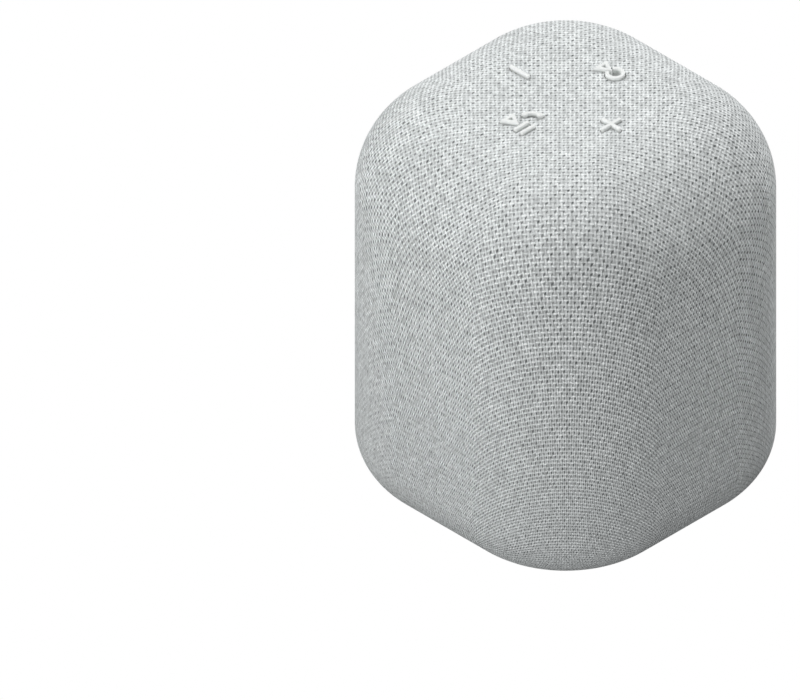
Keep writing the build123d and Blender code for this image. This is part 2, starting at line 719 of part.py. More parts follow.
# Basket: a stepped cup with a ledge for the spider, a seat for the motor and four windows
BASKET_IN = 18.4
BASKET_OUT = 19.6
BASKET_STRAIGHT = 4.6
LEDGE = 12.6
LEDGE_T = 1.0
LEDGE_IN = 12.6
LEDGE_OUT = 14.5
SEAT = 16.2
SEAT_IN = 8.0
SEAT_EDGE = 12.8
MOTOR = 17.6
BASKET_END = 14.0
WINDOW = 9.0
WINDOW_W = 14.0
WINDOW_D = 5.6
with BuildPart() as woofer_basket:
    add(woofer_flange(WOOFER_FLANGE, WOOFER_FACE, BASKET_IN))
    with BuildSketch(WOOFER):
        Polygon(
            (BASKET_IN, 0),
            (BASKET_IN, BASKET_STRAIGHT),
            (LEDGE_OUT, LEDGE),
            (LEDGE_IN, LEDGE),
            (LEDGE_IN, LEDGE + LEDGE_T),
            (SEAT_EDGE, SEAT),
            (SEAT_IN, SEAT),
            (SEAT_IN, MOTOR),
            (BASKET_END, MOTOR),
            (BASKET_OUT, BASKET_STRAIGHT),
            (BASKET_OUT, 0),
            align=None,
        )
    revolve(axis=WOOFER_AXIS)
    with BuildSketch(Plane.XY.offset(WOOFER_Z)):
        with Locations((0, WOOFER_FACE + WINDOW)):
            Rectangle(WINDOW_W, WINDOW_D)
    extrude(amount=WOOFER_HOLE_R, both=True, mode=Mode.SUBTRACT)
    with BuildSketch(Plane.YZ):
        with Locations((WOOFER_FACE + WINDOW, WOOFER_Z)):
            Rectangle(WINDOW_D, WINDOW_W)
    extrude(amount=WOOFER_HOLE_R, both=True, mode=Mode.SUBTRACT)
save(woofer_basket, "woofer_basket")

# Motor: top plate, ring magnet and yoke, with the coil's gap between plate and pole
GAP_OUT = 7.15
STEEL = 2.0
TOP_PLATE_OUT = 13.0
MAGNET_IN = 8.4
MAGNET_OUT = 14.0
MAGNET_H = 6.0
YOKE_OUT = 13.2
POLE_R = 5.65
with BuildPart() as woofer_top_plate:
    with BuildSketch(WOOFER):
        with Locations((GAP_OUT, MOTOR)):
            Rectangle(TOP_PLATE_OUT - GAP_OUT, STEEL, align=Align.MIN)
    revolve(axis=WOOFER_AXIS)
save(woofer_top_plate, "woofer_top_plate")

with BuildPart() as woofer_magnet:
    with BuildSketch(WOOFER):
        with Locations((MAGNET_IN, MOTOR + STEEL)):
            Rectangle(MAGNET_OUT - MAGNET_IN, MAGNET_H, align=Align.MIN)
    revolve(axis=WOOFER_AXIS)
save(woofer_magnet, "woofer_magnet")

with BuildPart() as woofer_yoke:
    with BuildSketch(WOOFER):
        with Locations((0, MOTOR + STEEL + MAGNET_H)):
            Rectangle(YOKE_OUT, STEEL, align=Align.MIN)
        with Locations((0, MOTOR)):
            Rectangle(POLE_R, STEEL + MAGNET_H, align=Align.MIN)
    revolve(axis=WOOFER_AXIS)
save(woofer_yoke, "woofer_yoke")

# Voice coil: former, winding, and the collar that the spider is glued to
COIL_IN = 6.05
COIL_OUT = 6.45
FORMER = 9.2
FORMER_L = 13.2
WINDING = 16.4
WINDING_L = 4.4
WINDING_T = 0.35
COLLAR = 12.0
COLLAR_W = 1.75
COLLAR_T = 0.6
with BuildPart() as voice_coil:
    with BuildSketch(WOOFER):
        with Locations((COIL_IN, FORMER)):
            Rectangle(COIL_OUT - COIL_IN, FORMER_L, align=Align.MIN)
        with Locations((COIL_OUT, WINDING)):
            Rectangle(WINDING_T, WINDING_L, align=Align.MIN)
        with Locations((COIL_OUT, COLLAR - COLLAR_T)):
            Rectangle(COLLAR_W, COLLAR_T, align=Align.MIN)
    revolve(axis=WOOFER_AXIS)
save(voice_coil, "voice_coil")

# Cone with a flat rim for the surround and a short neck round the coil
CONE_RIM = 15.2
CONE_EDGE = 13.8
CONE_UNDER = 14.1
CONE_NECK = 8.4
CONE_T = 0.6
NECK_L = 1.6


def cone_face(radius):
    """Depth of the cone's front face at a radius."""
    return CONE_NECK * (CONE_EDGE - radius) / (CONE_EDGE - COIL_OUT)


with BuildPart() as woofer_cone:
    with BuildSketch(WOOFER):
        Polygon(
            (CONE_RIM, 0),
            (CONE_EDGE, 0),
            (COIL_OUT, CONE_NECK),
            (COIL_OUT, CONE_NECK + NECK_L),
            (COIL_OUT + CONE_T, CONE_NECK + NECK_L),
            (COIL_OUT + CONE_T, CONE_NECK + CONE_T / 3),
            (CONE_UNDER, CONE_T),
            (CONE_RIM, CONE_T),
            align=None,
        )
    revolve(axis=WOOFER_AXIS)
save(woofer_cone, "woofer_cone")


def dome_arc(apex, radius, rim):
    """Start, middle and end of an arc centred on the axis, from the apex depth out to the rim."""
    sphere = (radius**2 + (rim - apex) ** 2) / (2 * (rim - apex))
    half_turn = asin(radius / sphere) / 2
    middle = (sphere * sin(half_turn), apex + sphere * (1 - cos(half_turn)))
    return (0, apex), middle, (radius, rim)


CAP_APEX = 4.0
CAP_T = 0.6
CAP_OUT = 8.0
CAP_IN = 7.3
with BuildPart() as woofer_dust_cap:
    with BuildSketch(WOOFER):
        with BuildLine():
            outer_arc = ThreePointArc(*dome_arc(CAP_APEX, CAP_OUT, cone_face(CAP_OUT)))
            inner_arc = ThreePointArc(*dome_arc(CAP_APEX + CAP_T, CAP_IN, cone_face(CAP_IN)))
            Line(outer_arc @ 1, inner_arc @ 1)
            Line(outer_arc @ 0, inner_arc @ 0)
        make_face()
    revolve(axis=WOOFER_AXIS)
save(woofer_dust_cap, "woofer_dust_cap")

# Corrugated spider between the coil collar and the basket ledge
SPIDER_WAVES = 4
SPIDER_IN = 8.4
SPIDER_STEP = 0.525
SPIDER_WAVE = 0.7
SPIDER_T = 0.4
SPIDER_OUT = 14.2
waves = [
    (SPIDER_IN + SPIDER_STEP * turn, COLLAR + SPIDER_WAVE * (turn % 2))
    for turn in range(1, 2 * SPIDER_WAVES)
]
spider_front = [
    (COIL_OUT + FIT, COLLAR),
    (SPIDER_IN, COLLAR),
    *waves,
    (LEDGE_IN, LEDGE - SPIDER_T),
    (SPIDER_OUT, LEDGE - SPIDER_T),
]
with BuildPart() as woofer_spider:
    with BuildSketch(WOOFER):
        Polygon(*spider_front, *[(r, d + SPIDER_T) for r, d in reversed(spider_front)], align=None)
    revolve(axis=WOOFER_AXIS)
save(woofer_spider, "woofer_spider")


def half_roll(inner_lip, middle, outer_lip, roll):
    """Profile of a rubber surround: two flat lips joined by a half roll that bulges forwards."""
    edge = sqrt((roll + RUBBER) ** 2 - RUBBER**2)
    with BuildSketch() as profile:
        with BuildLine():
            Polyline((outer_lip, 0), (outer_lip, -RUBBER), (middle + edge, -RUBBER))
            ThreePointArc((middle + edge, -RUBBER), (middle, -roll - RUBBER), (middle - edge, -RUBBER))
            Polyline((middle - edge, -RUBBER), (inner_lip, -RUBBER), (inner_lip, 0), (middle - roll, 0))
            ThreePointArc((middle - roll, 0), (middle, -roll), (middle + roll, 0))
            Line((middle + roll, 0), (outer_lip, 0))
        make_face()
    return profile.sketch


SURROUND_IN = 13.9
SURROUND_MID = 17.1
SURROUND_OUT = 21.4
SURROUND_ROLL = 1.6
with BuildPart() as woofer_surround:
    with BuildSketch(WOOFER):
        add(half_roll(SURROUND_IN, SURROUND_MID, SURROUND_OUT, SURROUND_ROLL))
    revolve(axis=WOOFER_AXIS)
save(woofer_surround, "woofer_surround")

with BuildPart() as woofer_screws:
    for x in (-WOOFER_SCREW_AT, WOOFER_SCREW_AT):
        for z in (WOOFER_Z - WOOFER_SCREW_AT, WOOFER_Z + WOOFER_SCREW_AT):
            add(screw(Plane(origin=(x, WOOFER_FACE, z), z_dir=(0, -1, 0)), WOOFER_SCREW))
save(woofer_screws, "woofer_screws")

# Tweeter: a cup with its magnet, and a dome on a short coil held by a rubber ring
TWEETER = Plane(origin=(0, -CAB_HALF - TWEETER_FLANGE, TWEETER_Z), x_dir=(1, 0, 0), z_dir=(0, 0, 1))
TWEETER_AXIS = Axis((0, 0, TWEETER_Z), (0, 1, 0))
TWEETER_IN = 5.6
TWEETER_FLARE = 0.8
TWEETER_THROAT = 1.0
TWEETER_VENT = 2.0
TWEETER_SKIN = 0.8
TWEETER_MOTOR = 2.6
TWEETER_BACK = 8.4
with BuildPart() as tweeter_housing:
    with BuildSketch(TWEETER):
        Polygon(
            (TWEETER_IN + TWEETER_FLARE, 0),
            (TWEETER_R, 0),
            (TWEETER_R, TWEETER_FLANGE),
            (TWEETER_BODY_R, TWEETER_FLANGE),
            (TWEETER_BODY_R, TWEETER_BACK + TWEETER_SKIN),
            (TWEETER_VENT, TWEETER_BACK + TWEETER_SKIN),
            (TWEETER_VENT, TWEETER_BACK),
            (TWEETER_IN, TWEETER_BACK),
            (TWEETER_IN, TWEETER_THROAT),
            align=None,
        )
    revolve(axis=TWEETER_AXIS)
save(tweeter_housing, "tweeter_housing")

TWEETER_MAGNET_R = 5.5
TWEETER_GAP = 3.2
TWEETER_GAP_W = 0.9
TWEETER_GAP_L = 3.4
with BuildPart() as tweeter_magnet:
    with BuildSketch(TWEETER):
        with Locations((0, TWEETER_MOTOR)):
            Rectangle(TWEETER_MAGNET_R, TWEETER_BACK - TWEETER_MOTOR, align=Align.MIN)
        with Locations((TWEETER_GAP, TWEETER_MOTOR)):
            Rectangle(TWEETER_GAP_W, TWEETER_GAP_L, align=Align.MIN, mode=Mode.SUBTRACT)
    revolve(axis=TWEETER_AXIS)
save(tweeter_magnet, "tweeter_magnet")

DOME_APEX = 0.3
DOME_RIM = 1.6
DOME_T = 0.4
DOME_R = 3.6
DOME_LIP_R = 4.0
DOME_COIL_IN = 3.45
DOME_COIL_OUT = 3.75
DOME_COIL_END = 5.2
with BuildPart() as tweeter_dome:
    with BuildSketch(TWEETER):
        with BuildLine():
            outer_arc = ThreePointArc(*dome_arc(DOME_APEX, DOME_R, DOME_RIM))
            inner_arc = ThreePointArc(*dome_arc(DOME_APEX + DOME_T, DOME_COIL_IN, DOME_RIM + DOME_T))
            Polyline(
                (DOME_R, DOME_RIM),
                (DOME_LIP_R, DOME_RIM),
                (DOME_LIP_R, DOME_RIM + DOME_T),
                (DOME_COIL_OUT, DOME_RIM + DOME_T),
                (DOME_COIL_OUT, DOME_COIL_END),
                (DOME_COIL_IN, DOME_COIL_END),
                (DOME_COIL_IN, DOME_RIM + DOME_T),
            )
            Line(outer_arc @ 0, inner_arc @ 0)
        make_face()
    revolve(axis=TWEETER_AXIS)
save(tweeter_dome, "tweeter_dome")

RING_IN = 3.65
RING_BEND_IN = 4.3
RING_BEND_OUT = 4.8
RING_OUT = 5.4
RING_SLANT = 0.2
with BuildPart() as tweeter_surround:
    with BuildSketch(TWEETER):
        Polygon(
            (RING_IN, DOME_RIM),
            (RING_BEND_IN - RING_SLANT, DOME_RIM),
            (RING_BEND_OUT - RING_SLANT, TWEETER_MOTOR),
            (RING_OUT, TWEETER_MOTOR),
            (RING_OUT, TWEETER_MOTOR - DOME_T),
            (RING_BEND_OUT, TWEETER_MOTOR - DOME_T),
            (RING_BEND_IN, DOME_RIM - DOME_T),
            (RING_IN, DOME_RIM - DOME_T),
            align=None,
        )
    revolve(axis=TWEETER_AXIS)
save(tweeter_surround, "tweeter_surround")


def radiator_ring():
    """The passive radiator's frame outline with its racetrack opening and screw holes."""
    with BuildSketch() as ring:
        RectangleRounded(RAD_FRAME_W, RAD_FRAME_H, RAD_FRAME_R)
        SlotOverall(RAD_OPEN_H, RAD_OPEN_W, rotation=90, mode=Mode.SUBTRACT)
        with GridLocations(2 * RAD_SCREW_W, 2 * RAD_SCREW_H, 2, 2):
            Circle(SMALL_HOLE, mode=Mode.SUBTRACT)
    return ring.sketch


def radiator_roll():
    """Profile of the passive radiator's rubber roll, measured out from the racetrack's middle."""
    return half_roll(RAD_PLATE_W / 2 - RAD_LAP_IN, RAD_ROLL_MID, RAD_OPEN_W / 2 + RAD_LAP_OUT, RAD_ROLL)


# Passive radiators: gasket, frame, moving plate and rubber surround on each side
for side, hand in ((-1, "left"), (1, "right")):
    with BuildPart() as radiator_gasket:
        with BuildSketch(side_plane(side, CAB_HALF)):
            with Locations((0, RAD_Z)):
                add(radiator_ring())
        extrude(amount=RAD_GASKET)
    save(radiator_gasket, f"radiator_gasket_{hand}")

    with BuildPart() as radiator_frame:
        with BuildSketch(side_plane(side, CAB_HALF + RAD_GASKET)):
            with Locations((0, RAD_Z)):
                add(radiator_ring())
        extrude(amount=RAD_FRAME)
    save(radiator_frame, f"radiator_frame_{hand}")

    with BuildPart() as radiator_plate:
        with BuildSketch(side_plane(side, RAD_FACE)):
            with Locations((0, RAD_Z)):
                SlotOverall(RAD_PLATE_H, RAD_PLATE_W, rotation=90)
        extrude(amount=-RAD_PLATE)
        chamfer(radiator_plate.edges().group_by(Axis.X)[0 if side > 0 else -1], RAD_PLATE_EDGE)
    save(radiator_plate, f"radiator_plate_{hand}")

    # The half roll: revolved round the two ends of the racetrack and run straight between them
    straight = RAD_OPEN_H - RAD_OPEN_W
    with BuildPart() as radiator_surround:
        for end in (-1, 1):
            centre = (side * RAD_FACE, 0, RAD_Z + end * straight / 2)
            with BuildSketch(Plane(origin=centre, x_dir=(0, 1, 0), z_dir=(0, 0, side))):
                add(radiator_roll())
            revolve(axis=Axis(centre, (1, 0, 0)), revolution_arc=180 * end)
        for across in (-1, 1):
            start = (side * RAD_FACE, 0, RAD_Z - straight / 2)
            with BuildSketch(Plane(origin=start, x_dir=(0, across, 0), z_dir=(0, 0, side * across))):
                add(radiator_roll())
            extrude(amount=straight * side * across)
    save(radiator_surround, f"radiator_surround_{hand}")

with BuildPart() as radiator_screws:
    for side in (-1, 1):
        for y in (-RAD_SCREW_W, RAD_SCREW_W):
            for z in (RAD_Z - RAD_SCREW_H, RAD_Z + RAD_SCREW_H):
                add(screw(Plane(origin=(side * RAD_FACE, y, z), z_dir=(side, 0, 0)), RAD_SCREW))
save(radiator_screws, "radiator_screws")

# Rear panel: a stadium plate set in the cover from inside, with key holes and a plug recess
with BuildPart() as rear_panel:
    with BuildSketch(rear_plane(PANEL_BACK)):
        with Locations((0, PANEL_Z)):
            SlotOverall(PANEL_H, PANEL_W, rotation=90)
    extrude(amount=PANEL_FACE - PANEL_BACK)
    fillet(rear_panel.edges().group_by(Axis.Y)[-1], PANEL_EDGE)
    with BuildSketch(rear_plane(PANEL_BACK)):
        with Locations((0, PANEL_Z)):
            SlotOverall(PANEL_H + 2 * PANEL_LEDGE_W, PANEL_W + 2 * PANEL_LEDGE_W, rotation=90)
    extrude(amount=PANEL_LEDGE)
    with BuildSketch(rear_plane(PANEL_BACK)):
        with Locations((0, POWER_Z), (0, PAIRING_Z)):
            Circle(REAR_KEY_R + FIT)
        with Locations((0, SOCKET_Z)):
            SlotOverall(SOCKET_W + 2 * FIT, SOCKET_H + 2 * FIT)
    extrude(amount=HALF, mode=Mode.SUBTRACT)
    with BuildSketch(rear_plane(SOCKET_FACE)):
        with Locations((0, SOCKET_Z)):
            SlotOverall(PLUG_W, PLUG_H)
    extrude(amount=HALF, mode=Mode.SUBTRACT)
save(rear_panel, "rear_panel")

# Rear keys: a rounded cap, a flange behind the panel and a stem that reaches its dome
for name, z in (("power_key", POWER_Z), ("pairing_key", PAIRING_Z)):
    with BuildPart() as rear_key:
        with BuildSketch(rear_plane(PANEL_BACK)):
            with Locations((0, z)):
                Circle(REAR_KEY_R)
        extrude(amount=REAR_KEY_TOP - PANEL_BACK)
        fillet(rear_key.edges().group_by(Axis.Y)[-1], REAR_KEY_ROUND)
        with BuildSketch(rear_plane(PANEL_BACK)):
            with Locations((0, z)):
                Circle(REAR_KEY_R + REAR_FLANGE_W)
        extrude(amount=-REAR_FLANGE)
        with BuildSketch(rear_plane(PANEL_BACK)):
            with Locations((0, z)):
                Circle(REAR_STEM_R)
        extrude(amount=MAIN_FACE + REAR_DOME - PANEL_BACK)
    save(rear_key, name)

with BuildPart() as rear_domes:
    dome_at = [Location((0, MAIN_FACE, z), (-90, 0, 0)) for z in (POWER_Z, PAIRING_Z)]
    with Locations(*dome_at):
        Cone(REAR_DOME_BASE_R, REAR_DOME_TIP_R, REAR_DOME, align=standing)
    with Locations(*dome_at):
        Cone(
            REAR_DOME_BASE_R - DOME_SKIN,
            REAR_DOME_TIP_R - DOME_SKIN,
            REAR_DOME - DOME_SKIN,
            align=standing,
            mode=Mode.SUBTRACT,
        )
save(rear_domes, "rear_domes")

# Charging socket: a stadium sheet-metal shell round a block with a flat tongue
with BuildPart() as usb_shell:
    with BuildSketch(rear_plane(MAIN_FACE)):
        with Locations((0, SOCKET_Z)):
            SlotOverall(SOCKET_W, SOCKET_H)
            SlotOverall(SOCKET_W - 2 * SOCKET_T, SOCKET_H - 2 * SOCKET_T, mode=Mode.SUBTRACT)
    extrude(amount=SOCKET_FACE - MAIN_FACE)
save(usb_shell, "usb_shell")

with BuildPart() as usb_tongue:
    block_gap = 2 * SOCKET_T + FIT
    with BuildSketch(rear_plane(MAIN_FACE)):
        with Locations((0, SOCKET_Z)):
            SlotOverall(SOCKET_W - block_gap, SOCKET_H - block_gap)
    extrude(amount=TONGUE_BLOCK)
    with BuildSketch(rear_plane(MAIN_FACE)):
        with Locations((0, SOCKET_Z)):
            Rectangle(TONGUE_W, TONGUE_T)
    extrude(amount=SOCKET_FACE - MAIN_FACE - TONGUE_SHORT)
save(usb_tongue, "usb_tongue")

# Main board, standing upright behind the cabinet
with BuildPart() as main_board:
    with BuildSketch(rear_plane(MAIN_BACK)):
        with Locations((0, (MAIN_LOW + MAIN_HIGH) / 2)):
            RectangleRounded(MAIN_W, MAIN_HIGH - MAIN_LOW, MAIN_R)
        with Locations(*MAIN_SCREW_PLACES):
            Circle(SMALL_HOLE, mode=Mode.SUBTRACT)
    extrude(amount=BOARD)
save(main_board, "main_board")

with BuildPart() as main_board_screws:
    for x, z in MAIN_SCREW_PLACES:
        add(screw(Plane(origin=(x, MAIN_FACE, z), z_dir=(0, 1, 0)), MAIN_SCREW))
save(main_board_screws, "main_board_screws")

# Parts on the main board, placed as seen from the rear
CAN_AT = (8.0, 71.0)
CAN_W = 14.0
CAN_D = 12.0
CAN_R = 0.8
CAN_H = 2.0
with BuildPart() as shield_can:
    with BuildSketch(rear_plane(MAIN_FACE)):
        with Locations(CAN_AT):
            RectangleRounded(CAN_W, CAN_D, CAN_R)
    extrude(amount=CAN_H)
save(shield_can, "shield_can")

PROCESSOR_AT = (-9.0, 72.0)
PROCESSOR = 8.0
AMPLIFIERS_AT = ((14.0, 58.0), (14.0, 46.0))
AMPLIFIER = 6.0
RIBBON_PLUG_AT = (0.0, 81.0)
RIBBON_PLUG_W = 10.0
RIBBON_PLUG_D = 4.0
CHIP_H = 1.6
CAPACITORS_AT = ((-14.0, 59.0), (-14.0, 49.0))
CAPACITOR_R = 3.0
CAPACITOR_H = 3.4
LEAD_PLUG_X = 13.0
LEAD_PLUG_LOW = 28.0
LEAD_PLUG_W = 6.0
LEAD_PLUG_L = 5.0
LEAD_PLUG_H = 3.8
with BuildPart() as board_components:
    with BuildSketch(rear_plane(MAIN_FACE)):
        with Locations(PROCESSOR_AT):
            Rectangle(PROCESSOR, PROCESSOR)
        with Locations(*AMPLIFIERS_AT):
            Rectangle(AMPLIFIER, AMPLIFIER)
        with Locations(RIBBON_PLUG_AT):
            Rectangle(RIBBON_PLUG_W, RIBBON_PLUG_D)
    extrude(amount=CHIP_H)
    with BuildSketch(rear_plane(MAIN_FACE)):
        with Locations(*CAPACITORS_AT):
            Circle(CAPACITOR_R)
    extrude(amount=CAPACITOR_H)
    with BuildSketch(rear_plane(MAIN_FACE)):
        with Locations((-LEAD_PLUG_X, LEAD_PLUG_LOW + LEAD_PLUG_L / 2)):
            Rectangle(LEAD_PLUG_W, LEAD_PLUG_L)
    extrude(amount=LEAD_PLUG_H)
save(board_components, "board_components")

# Flat ribbon from the control board down to the main board's connector
RIBBON_W = 8.0
RIBBON = 0.3
RIBBON_FROM = 10.0
RIBBON_TURN = 28.0
RIBBON_FALL = 92.0
RIBBON_END = RIBBON_PLUG_AT[1] + RIBBON_PLUG_D / 2
RIBBON_BEND = 4.0
RIBBON_Y = MAIN_FACE + CHIP_H / 2
RIBBON_TOP = CONTROL_TOP - BOARD - RIBBON / 2
with BuildPart() as control_ribbon:
    with BuildLine() as ribbon_path:
        FilletPolyline(
            (0, RIBBON_FROM, RIBBON_TOP),
            (0, RIBBON_TURN, RIBBON_TOP),
            (0, RIBBON_Y, RIBBON_FALL),
            (0, RIBBON_Y, RIBBON_END),
            radius=RIBBON_BEND,
        )
    with BuildSketch(Plane(origin=(0, RIBBON_FROM, RIBBON_TOP), x_dir=(1, 0, 0), z_dir=(0, 1, 0))):
        Rectangle(RIBBON_W, RIBBON)
    sweep(path=ribbon_path.line)
save(control_ribbon, "control_ribbon")

# Battery: two cells in a saddle tray, held down by a foam pad under the cabinet floor
with BuildPart() as battery_cells:
    for y in (-CELL_Y, CELL_Y):
        with BuildSketch(side_plane(1, -CELL_LENGTH / 2)):
            with Locations((y, CELL_Z)):
                Circle(CELL_R)
        extrude(amount=CELL_LENGTH)
    fillet(battery_cells.edges().filter_by(GeomType.CIRCLE), CELL_EDGE)
save(battery_cells, "battery_cells")

with BuildPart() as battery_tray:
    with BuildSketch(Plane.XY.offset(FLOOR_TOP)):
        RectangleRounded(TRAY_L, TRAY_W, SOFT_R)
    extrude(amount=TRAY_H)
    with BuildSketch(side_plane(1, -CELL_LENGTH / 2)):
        with Locations((-CELL_Y, CELL_Z), (CELL_Y, CELL_Z)):
            Circle(CELL_R)
    extrude(amount=CELL_LENGTH, mode=Mode.SUBTRACT)
save(battery_tray, "battery_tray")

with BuildPart() as battery_pad:
    with BuildSketch(Plane.XY.offset(CELL_Z + CELL_R)):
        RectangleRounded(PAD_L, PAD_W, SOFT_R)
    extrude(amount=CAB_LOW - CELL_Z - CELL_R)
save(battery_pad, "battery_pad")

with BuildPart() as battery_board:
    with BuildSketch(side_plane(1, CELL_LENGTH / 2)):
        with Locations((0, CELL_Z)):
            RectangleRounded(CELL_BOARD_W, CELL_BOARD_H, CELL_BOARD)
    extrude(amount=CELL_BOARD)
save(battery_board, "battery_board")

# Battery lead: from the edge of the cells' board, round a post, up to its plug on the main board
LEAD_R = 0.8
LEAD_X = CELL_LENGTH / 2 + CELL_BOARD
LEAD_Z = CELL_Z + 2.0
LEAD_Y = MAIN_FACE + LEAD_PLUG_H / 2
LEAD_POINTS = (
    (LEAD_X, CELL_BOARD_W / 2, LEAD_Z),
    (LEAD_X, 25.0, LEAD_Z),
    (22.0, LEAD_Y, 21.0),
    (LEAD_PLUG_X, LEAD_Y, 22.5),
    (LEAD_PLUG_X, LEAD_Y, LEAD_PLUG_LOW),
)
LEAD_BENDS = (10.0, 9.0, 2.8)
with BuildPart() as battery_lead:
    with BuildLine() as lead_path:
        FilletPolyline(*LEAD_POINTS, radius=LEAD_BENDS)
    with BuildSketch(Plane(origin=LEAD_POINTS[0], z_dir=(0, 1, 0))):
        Circle(LEAD_R)
    sweep(path=lead_path.line)
save(battery_lead, "battery_lead")
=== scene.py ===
"""Dresses the smart speaker: the woven sleeve, the keys, the rear controls, the foot and the parts inside."""

import functools
import json
import logging
import math
from dataclasses import dataclass
from enum import Enum

import bmesh
import bpy
from mathutils import Matrix, Vector

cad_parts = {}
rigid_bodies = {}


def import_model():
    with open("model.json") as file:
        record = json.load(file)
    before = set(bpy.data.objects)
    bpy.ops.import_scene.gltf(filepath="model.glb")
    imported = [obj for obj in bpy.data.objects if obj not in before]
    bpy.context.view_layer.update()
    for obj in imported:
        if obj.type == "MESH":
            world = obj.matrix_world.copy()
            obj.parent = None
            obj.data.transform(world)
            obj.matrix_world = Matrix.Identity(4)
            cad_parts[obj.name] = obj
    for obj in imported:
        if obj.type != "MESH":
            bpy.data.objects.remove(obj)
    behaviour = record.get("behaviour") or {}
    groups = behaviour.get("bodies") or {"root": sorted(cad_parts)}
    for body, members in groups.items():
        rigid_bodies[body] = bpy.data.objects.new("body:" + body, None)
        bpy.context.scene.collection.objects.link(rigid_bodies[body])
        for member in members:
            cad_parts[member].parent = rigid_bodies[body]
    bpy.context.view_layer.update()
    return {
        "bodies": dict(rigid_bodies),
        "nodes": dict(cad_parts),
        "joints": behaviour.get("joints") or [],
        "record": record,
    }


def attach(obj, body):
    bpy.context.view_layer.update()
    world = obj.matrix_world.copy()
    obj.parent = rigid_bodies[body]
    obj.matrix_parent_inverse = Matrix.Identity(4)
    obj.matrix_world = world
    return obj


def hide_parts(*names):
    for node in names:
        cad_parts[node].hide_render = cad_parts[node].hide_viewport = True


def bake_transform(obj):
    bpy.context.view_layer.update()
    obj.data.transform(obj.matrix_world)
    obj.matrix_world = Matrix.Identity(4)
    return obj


LOG = logging.getLogger("speaker")
MM = 0.001
UV_LAYER = "UVMap"
CREASE = math.radians(40)
NEAR_NOTHING = 1e-6
SAME_PLACE = 1e-7
GRAIN_SPREAD = 0.16
# The Wave node's bands lie this far apart at a scale of 1.
WAVE_LENGTH = math.pi / 10

Colour = tuple[float, float, float, float]


def grey(level: float, warmth: float = 0.0) -> Colour:
    """Return a grey of that linear level, a little warm or cool."""
    return (level * (1 + warmth), level, level * (1 - warmth), 1.0)


def put(name: str, data: bpy.types.ID) -> bpy.types.Object:
    """Make an object of that mesh, light or camera and link it to the scene."""
    piece = bpy.data.objects.new(name, data)
    bpy.context.scene.collection.objects.link(piece)
    return piece


class Slot(Enum):
    """Material slots of the part's record."""

    WOVEN_CLOTH = "woven_cloth"
    SHELL_PLASTIC = "shell_plastic"
    KEY_PLASTIC = "key_plastic"
    FOOT_RUBBER = "foot_rubber"
    SILICONE = "silicone"
    GASKET_FOAM = "gasket_foam"
    CABINET_PLASTIC = "cabinet_plastic"
    DRIVER_RUBBER = "driver_rubber"
    CONE_PAPER = "cone_paper"
    COIL_COPPER = "coil_copper"
    MAGNET_FERRITE = "magnet_ferrite"
    PLATED_STEEL = "plated_steel"
    BOARD_LAMINATE = "board_laminate"
    COMPONENT_PLASTIC = "component_plastic"
    RIBBON_FILM = "ribbon_film"
    CELL_WRAP = "cell_wrap"


class Field:
    """A number that changes over a surface; arithmetic on it adds Math nodes to its tree."""

    def __init__(self, graph: "Graph", socket: bpy.types.NodeSocket) -> None:
        """Hold the socket that carries the number."""
        self.graph = graph
        self.socket = socket

    def __add__(self, other: "Field | float") -> "Field":
        """Add another number."""
        return self.graph.math("ADD", self, other)

    def __radd__(self, other: float) -> "Field":
        """Add to a plain number."""
        return self.graph.math("ADD", other, self)

    def __sub__(self, other: "Field | float") -> "Field":
        """Subtract another number."""
        return self.graph.math("SUBTRACT", self, other)

    def __rsub__(self, other: float) -> "Field":
        """Subtract from a plain number."""
        return self.graph.math("SUBTRACT", other, self)

    def __mul__(self, other: "Field | float") -> "Field":
        """Multiply by another number."""
        return self.graph.math("MULTIPLY", self, other)

    def __rmul__(self, other: float) -> "Field":
        """Multiply a plain number."""
        return self.graph.math("MULTIPLY", other, self)

    def __truediv__(self, other: "Field | float") -> "Field":
        """Divide by another number."""
        return self.graph.math("DIVIDE", self, other)


Input = Field | bpy.types.NodeSocket | float | int | bool | str | tuple | bpy.types.Material


